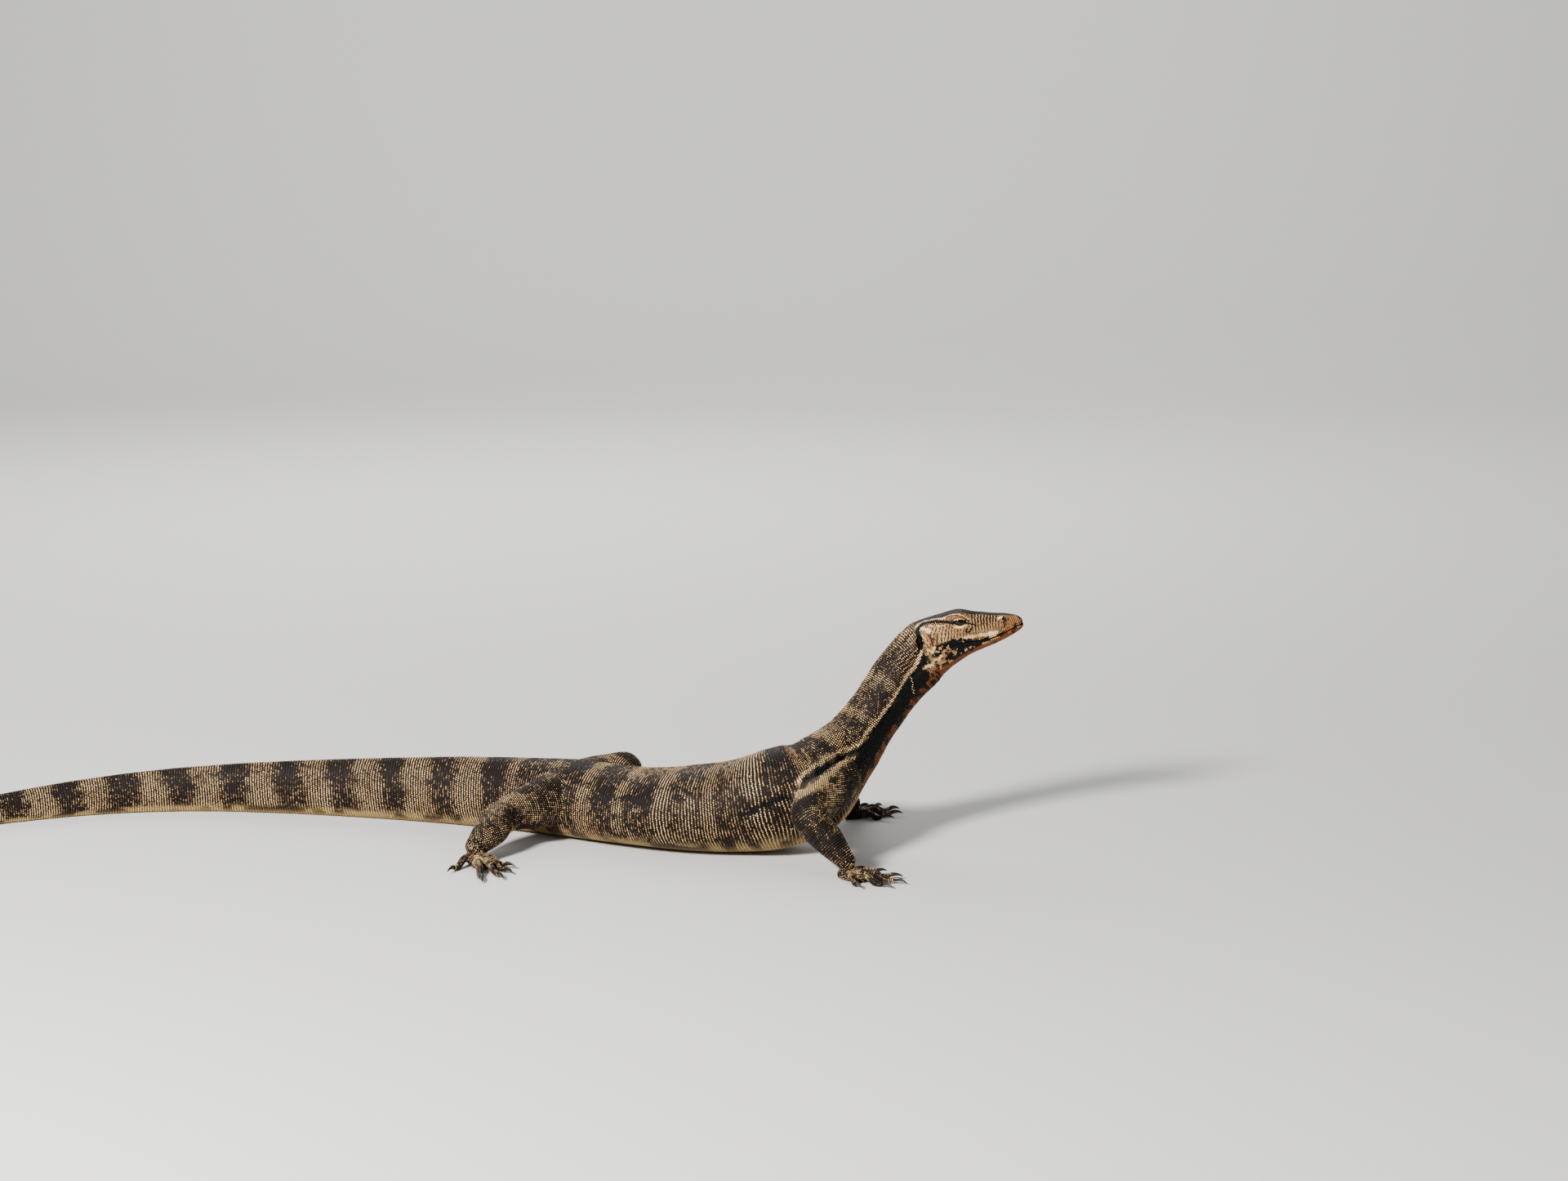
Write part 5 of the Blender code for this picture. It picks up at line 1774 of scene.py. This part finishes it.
    def _part(self, body: Roots, legs: list) -> tuple[Roots, list]:
        """Where rows of the body and of a leg meet, keep the row that fits the skin better."""
        tree = search_tree(body.place)
        lost = np.zeros(len(body.place), bool)
        kept = []
        for leg in legs:
            keep = np.ones(len(leg.place), bool)
            for i, place in enumerate(leg.place.tolist()):
                for _, near, _ in tree.find_range(place, leg.pitch[i] * self.least_gap):
                    if lost[near]:
                        continue
                    if leg.away[i] < body.away[near]:
                        lost[near] = True
                    else:
                        keep[i] = False
            kept.append(self._apart(leg.chosen(keep)))
        return body.chosen(~lost), kept

    def _apart(self, roots: Roots) -> Roots:
        """Drop roots that stand almost on another one, as where toes join a foot."""
        tree = search_tree(roots.place)
        keep = np.ones(len(roots.place), bool)
        for i in np.argsort(roots.away, kind="stable").tolist():
            if keep[i]:
                reach = roots.pitch[i] * self.least_gap
                for _, near, _ in tree.find_range(roots.place[i].tolist(), reach):
                    if near != i:
                        keep[near] = False
        return roots.chosen(keep)

    def _fill(self, roots: Roots, rng: np.random.Generator) -> Roots:
        """Return roots for the bare places that the rows leave."""
        tree = search_tree(roots.place)
        points, ways = self.surface.final, self.surface.normals
        free = self._open(points)
        taken, chosen, source = {}, [], []
        for i in rng.permutation(len(points)).tolist():
            if not free[i]:
                continue
            place = points[i].tolist()
            _, near, away = tree.find(place)
            gap = roots.pitch[near] * self.fill_gap
            if away < gap:
                continue
            cell = tuple(int(c // self.fill_cell) for c in place)
            close = (other for dx in (-1, 0, 1) for dy in (-1, 0, 1) for dz in (-1, 0, 1)
                     for other in taken.get((cell[0] + dx, cell[1] + dy, cell[2] + dz), ()))
            if any(math.dist(place, other) < gap for other in close):
                continue
            taken.setdefault(cell, []).append(place)
            chosen.append(i)
            source.append(near)
        copied = roots.chosen(np.array(source, int))
        return replace(copied, place=points[chosen], out=ways[chosen], size=copied.size * 0.86)

    def _pieces(self, body: Roots, legs: list, extra: Roots) -> list:
        """Make the meshes, each under the limit on triangles."""
        tree = ScatterTree()
        forms = {"scales_head": ScaleForm("granule"), "scales_neck": ScaleForm("bead", shoulder=(0.54, 0.58)),
                 "scales_body": ScaleForm("bar", shoulder=(0.74, 0.36))}
        finish = Hide("scales", roughness=0.42, grain_scale=1400.0, darkest=0.86, palest=1.08,
                      bump=0.12).build()
        near_leg = np.full(len(extra.place), -1)
        for number, limb in enumerate(self.limbs):
            place, _, over = limb.locate(extra.place)
            foot = limb.from_foot(extra.place, 0.02, 0.0)
            near_leg[(over < 0.001) & (place > 0.35) | (foot < self.foot_reach)] = number
        trunk = Roots.joined([body, extra.chosen(near_leg < 0)])
        along, _, _ = self.spine.locate(trunk.place)
        head, body_end = along < self.head_end, along >= self.neck_end
        stock = {"scales_head": trunk.chosen(head), "scales_neck": trunk.chosen(~head & ~body_end),
                 "scales_body": trunk.chosen(body_end)}
        for number, limb in enumerate(self.limbs):
            stock[f"scales_{limb.name}"] = Roots.joined([legs[number], extra.chosen(near_leg == number)])
        pieces = []
        for name, roots in stock.items():
            form = forms.get(name, forms["scales_neck"])
            shape = form.build()
            most = self.most_triangles // form.triangles
            along, angle, _ = self.spine.locate(roots.place)
            order = np.argsort(along, kind="stable")
            parts = max(1, math.ceil(len(order) / most))
            for number, picked in enumerate(np.array_split(order, parts)):
                part = roots.chosen(picked)
                title = name if parts == 1 else f"{name}_{number + 1}"
                piece = tree.grow(title, part, form, shape, finish, 20 + len(pieces))
                spine_chart = None
                if name in forms:
                    low, high = along[picked].min(), along[picked].max()
                    spine_chart = columns((along[picked] - low) / (high - low),
                                          angle[picked] / math.tau + 0.5)
                self._dress(piece, part, form, spine_chart)
                pieces.append(piece)
            bpy.data.objects.remove(shape)
        return pieces

    def _dress(self, piece: Object, roots: Roots, form: ScaleForm, chart: Array | None) -> None:
        """Colour each scale, and give it its patch of the map OFBake."""
        mesh = piece.data
        count = len(roots.place)
        co, _ = mesh_arrays(mesh)
        co[:, 2] = np.maximum(co[:, 2], SCALE_FLOOR)
        set_points(mesh, co)
        ink = self.marks.read(roots.place)
        rng = np.random.default_rng(count)
        fresh = rng.uniform(0.82, 1.12, (count, 1))
        share = form.ring_of(count)
        owner = np.repeat(np.arange(count), form.points)
        colours = mix(ink.ground[owner], (ink.scale * fresh)[owner], share)
        paint(mesh, np.clip(colours, 0, 1))
        base = 0.01 + 0.98 * (roots.chart if chart is None else chart)
        corner = rows_of(mesh.loops, "vertex_index", 1, int)[:, 0]
        ring = np.array(form.outline) * self.patch
        patch = np.concatenate([ring, ring * np.array(form.shoulder), [(0, 0)]])
        chart_layer = mesh.uv_layers.new(name="OFBake")
        places = base[owner[corner]] + patch[corner % form.points]
        chart_layer.data.foreach_set("uv", np.clip(places, 0, 1).ravel())
        mesh.shade_smooth()


class IrisLook(Enum):
    """Linear colours of the rings of the eye, from the pupil out."""

    PUPIL = (0.002, 0.002, 0.002)
    GOLD = (0.040, 0.017, 0.005)
    IRIS = (0.006, 0.0028, 0.0015)
    WHITE = (0.003, 0.002, 0.0015)


@dataclass(frozen=True)
class EyeFinish:
    """Wet, dark eye with a round pupil and a thin golden ring."""

    name: str = "eye"
    pupil: float = 0.38
    ring: float = 0.42
    iris: float = 0.80

    def build(self) -> Material:
        """Return the material; the attribute named polar is 0 at the pupil's middle."""
        made, tree = new_material(self.name)
        polar = add_node(tree, "ShaderNodeAttribute", attribute_name="polar").outputs["Fac"]
        place = add_node(tree, "ShaderNodeTexCoord").outputs["Object"]
        fibres = add_node(tree, "ShaderNodeTexNoise", {"Vector": place, "Scale": 1600.0})
        stirred = add_node(tree, "ShaderNodeMath", {0: fibres, 1: 0.05, 2: polar},
                           operation="MULTIPLY_ADD")
        ramp = add_node(tree, "ShaderNodeValToRGB", {"Fac": stirred})
        stops = ((0.0, IrisLook.PUPIL), (self.pupil, IrisLook.PUPIL), (self.pupil + 0.02, IrisLook.GOLD),
                 (self.ring, IrisLook.GOLD), (self.ring + 0.10, IrisLook.IRIS),
                 (self.iris, IrisLook.IRIS), (self.iris + 0.06, IrisLook.WHITE))
        ramp.color_ramp.elements.remove(ramp.color_ramp.elements[1])
        for number, (place, look) in enumerate(stops):
            stop = ramp.color_ramp.elements[0] if number == 0 else ramp.color_ramp.elements.new(place)
            stop.position = place
            stop.color = (*look.value, 1)
        feed(tree, tree.nodes["Principled BSDF"],
             {"Base Color": ramp, "Roughness": 0.12, "Specular IOR Level": 0.2,
              "Coat Weight": 0.6, "Coat Roughness": 0.02})
        return made


@dataclass
class Eye:
    """One eyeball and the lids round it."""

    side: int
    surface: Surface
    rows: int = 30
    steps: int = 48
    lid_steps: int = 72
    hidden_drop: float = 0.0035  # how far the ball is flattened behind the lids
    hidden_from: tuple = (1.12, 1.6)  # where the flattening starts and is full, in openings
    # Out from the opening, and height over the eyeball or over the skin, in millimetres.
    lid_profile: tuple = ((-0.15, -0.9), (-0.10, 0.10), (0.05, 0.50), (0.55, 0.78), (1.20, 0.62),
                          (1.60, 0.42), (1.95, 0.40), (2.60, 0.30), (3.10, 0.05), (3.30, -0.60),
                          (1.60, -1.30))

    @property
    def title(self) -> str:
        """Return the eye's name."""
        return "eye_left" if self.side > 0 else "eye_right"

    def eyeball(self, finish: Material) -> Object:
        """Return the eyeball, its rings round the way that it looks."""
        centre = np.array(eye_centre(self.side))
        look = head_way(0.16, self.side, 0.10).normalized()
        across = np.array(look.orthogonal().normalized())
        look = np.array(look)
        upward = np.cross(look, across)
        polar = np.linspace(0, math.pi, self.rows + 1)[1:-1]
        turn = whole_turn(self.steps)
        rings = [look * math.cos(p) + math.sin(p) * (np.outer(np.cos(turn), across)
                                                     + np.outer(np.sin(turn), upward)) for p in polar]
        points = [centre + look * EYE_RADIUS]
        points += [centre + point * EYE_RADIUS for ring in rings for point in ring]
        points.append(centre - look * EYE_RADIUS)
        points = np.array(points)
        back, left, rise = in_head(points).T
        level = almond_level(EYE_BACK - back, rise - EYE_RISE)
        outer = ease(0.0, 0.003, left * self.side - EYE_SIDE)
        inward = np.array(head_way(0, -self.side, 0))
        points += np.outer(ease(*self.hidden_from, level) * self.hidden_drop * outer, inward)
        after = [(i + 1) % self.steps for i in range(self.steps)]
        last, base = len(points) - 1, 1 + (len(rings) - 1) * self.steps
        faces = [(0, 1 + after[i], 1 + i) for i in range(self.steps)]
        faces += [tuple(1 + i for i in face) for face in ring_faces(len(rings), self.steps)]
        faces += [(last, base + i, base + after[i]) for i in range(self.steps)]
        made = mesh_object(f"{self.title}_ball", points, faces)
        layer = made.data.attributes.new("polar", "FLOAT", "POINT")
        values = np.concatenate([[0], np.repeat(polar, self.steps), [math.pi]])
        layer.data.foreach_set("value", values)
        made.data.materials.append(finish)
        return made

    def lids(self, finish: Material) -> Object:
        """Return the lids as one rounded band round the opening, set into the skin."""
        turn = whole_turn(self.lid_steps)
        rings, colours = [], []
        for grow, lift in self.lid_profile:
            flat = almond(turn, grow / 1000)
            ahead, rise = flat.T
            away = np.hypot(ahead, rise)
            ball = EYE_SIDE + np.sqrt(np.maximum(EYE_RADIUS**2 - away**2, 0.0008**2))
            skin = self._skin_side(flat)
            share = np.clip((grow - 0.5) / 1.9, 0, 1)
            side = skin * share + ball * (1 - share)
            level = almond_level(ahead, rise)
            hidden = ball - ease(*self.hidden_from, level) * self.hidden_drop
            if lift > -0.5:
                side = np.maximum(side, np.maximum(hidden, skin - ease(1.4, 1.1, level) * 0.004))
            side = side + lift / 1000
            rings.append(from_head(EYE_BACK - ahead, self.side * side, rise + EYE_RISE))
            colours.append(self._lid_colours(turn, grow, rings[-1]))
        made = mesh_object(f"{self.title}_lids", np.concatenate(rings),
                           ring_faces(len(rings), self.lid_steps, closed=True))
        paint(made.data, np.concatenate(colours))
        made.data.materials.append(finish)
        return made

    def _skin_side(self, flat: Array) -> Array:
        """Return how far out the head's side is at places round the eye."""
        met = [self.surface.beside_head(self.side, EYE_BACK - ahead, rise + EYE_RISE)
               for ahead, rise in flat]
        return np.array([EYE_SIDE if place is None else RAY_START - away for place, away in met])

    @staticmethod
    def _lid_colours(turn: Array, grow: float, points: Array) -> Array:
        """Return a lid's colours: dark at the margin, black at the corners as painted shade in their creases,
        with pale bands.
        """
        upper = ease(-0.10, 0.15, np.sin(turn))
        # Painted shade in the creases at the eye's corners.
        corner = ease(0.74, 0.90, np.abs(np.cos(turn)))
        out = (-0.1, 0.25, 0.5, 0.9, 1.2, 2.0, 2.6, 3.3)
        above = np.interp(grow, out, (0, 0, 0.9, 0.7, 0.45, 0.5, 0.7, 0.1))
        below = np.interp(grow, out, (0, 0, 1.0, 1.0, 1.0, 1.0, 0.75, 0.3))
        share = (above * upper + below * (1 - upper)) * (1 - corner)
        fleck = noise(points, 0.0007, 61)
        share = np.clip(share * (0.75 + 0.5 * fleck), 0, 1)
        ruddy = mix(ORANGE, TAN, fleck)
        pale = mix(np.tile(CREAM, (len(turn), 1)), ruddy, upper * (grow > 0.8))
        return mix(np.tile(BLACK, (len(turn), 1)), pale, share)


@dataclass
class Claws:
    """The twenty hooked claws."""

    limbs: list
    rings: int = 18
    sides: int = 14
    base: float = 0.92  # of the toe's radius
    ridge: float = 0.10

    def build(self, finish: Material) -> list:
        """Return the claws, each with the name of the solid that it replaces."""
        made = []
        for limb in self.limbs:
            for number, digit in enumerate(DIGITS[limb.foot]):
                title = f"{limb.name}_claw_{number + 1}"
                piece = self._claw(f"{title}_horn", limb, digit)
                piece.data.materials.append(finish)
                made.append((piece, title))
        return made

    def _claw(self, name: str, limb: LimbForm, digit: Digit) -> Object:
        """Return one claw: a curved cone, deeper than wide, with a ridge on top."""
        path, radii = limb.digit_path(digit, 9)
        forward = unit(path[-1] - path[-2])
        side = unit(np.cross((0.0, 0.0, 1.0), forward))
        upward = np.cross(forward, side)
        bend = math.radians(CLAW_BEND)
        share = np.linspace(0, 1, self.rings)
        radius = CLAW_LENGTH / bend
        centres = (path[-1] + forward * CLAW_GAP
                   + np.outer(np.sin(share * bend) * radius, forward)
                   - np.outer((1 - np.cos(share * bend)) * radius, upward))
        base = radii[-1] * self.base
        heights = CLAW_TIP * 0.6 + (base - CLAW_TIP * 0.6) * (1 - share**1.3)
        turn = whole_turn(self.sides)
        lift = np.cos(turn) * (1 + self.ridge * np.cos(turn) ** 3)
        rings = []
        for centre, angle, height in zip(centres, share * bend, heights):
            tall = upward * math.cos(angle) + forward * math.sin(angle)
            rings.append(centre + np.outer(lift * height * 0.98, tall)
                         + np.outer(np.sin(turn) * height * CLAW_THICKNESS, side))
        points, faces = loft(np.array(rings))
        points[:, 2] = np.maximum(points[:, 2], SCALE_FLOOR)
        return mesh_object(name, points, faces)


@dataclass(frozen=True)
class Horn:
    """Dark, lightly polished horn with fine streaks."""

    name: str = "claw_horn"
    dark: tuple = (0.012, 0.009, 0.007)
    pale: tuple = (0.075, 0.052, 0.034)

    def build(self) -> Material:
        """Return the material."""
        made, tree = new_material(self.name)
        place = add_node(tree, "ShaderNodeTexCoord").outputs["Object"]
        grain = add_node(tree, "ShaderNodeTexNoise", {"Vector": place, "Scale": 700.0, "Detail": 5.0})
        ramp = add_node(tree, "ShaderNodeValToRGB", {"Fac": grain})
        for number, (place, colour) in enumerate(((0.35, self.dark), (0.75, self.pale))):
            ramp.color_ramp.elements[number].position = place
            ramp.color_ramp.elements[number].color = (*colour, 1)
        feed(tree, tree.nodes["Principled BSDF"],
             {"Base Color": ramp, "Roughness": 0.32})
        return made


def main() -> None:
    """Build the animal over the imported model."""
    logging.basicConfig(level=logging.INFO, format="%(relativeCreated)6d ms  %(message)s")
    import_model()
    Studio().build()
    spine, limbs = SpineForm(), build_limbs()
    marks = MarkingsAndShade(spine, limbs)
    skin_maker = Skin(spine, limbs)
    skin, surface = skin_maker.build()
    points, triangles = mesh_arrays(skin.data)
    LOG.info("skin: %d points, %d triangles", len(points), len(triangles))
    paint(skin.data, marks.read(points).ground)
    skin.data.materials.append(Hide("skin", cells=1500.0, roughness=0.62, bump=0.5, specular=0.22).build())
    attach(skin, "root")
    flesh = list(skin_maker.replaced)
    for limb in limbs:
        flesh += [f"{limb.name}_upper", f"{limb.name}_lower", f"{limb.name}_{limb.foot}"]
    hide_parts(*flesh)
    for piece in Coat(spine, limbs, surface, marks).build():
        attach(piece, "root")
        LOG.info("%s: %d faces", piece.name, len(piece.data.polygons))
    eye_finish = EyeFinish().build()
    lid_finish = Hide("lids", roughness=0.4, grain_scale=1600.0, cells=2200.0, bump=0.4).build()
    for side in (1, -1):
        eye = Eye(side, surface)
        ball = eye.eyeball(eye_finish)
        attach(ball, "root")
        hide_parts(eye.title)
        lids = eye.lids(lid_finish)
        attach(lids, "root")
    horn = Horn().build()
    for claw, node in Claws(limbs).build(horn):
        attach(claw, "root")
        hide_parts(node)


if __name__ == "__main__":
    main()
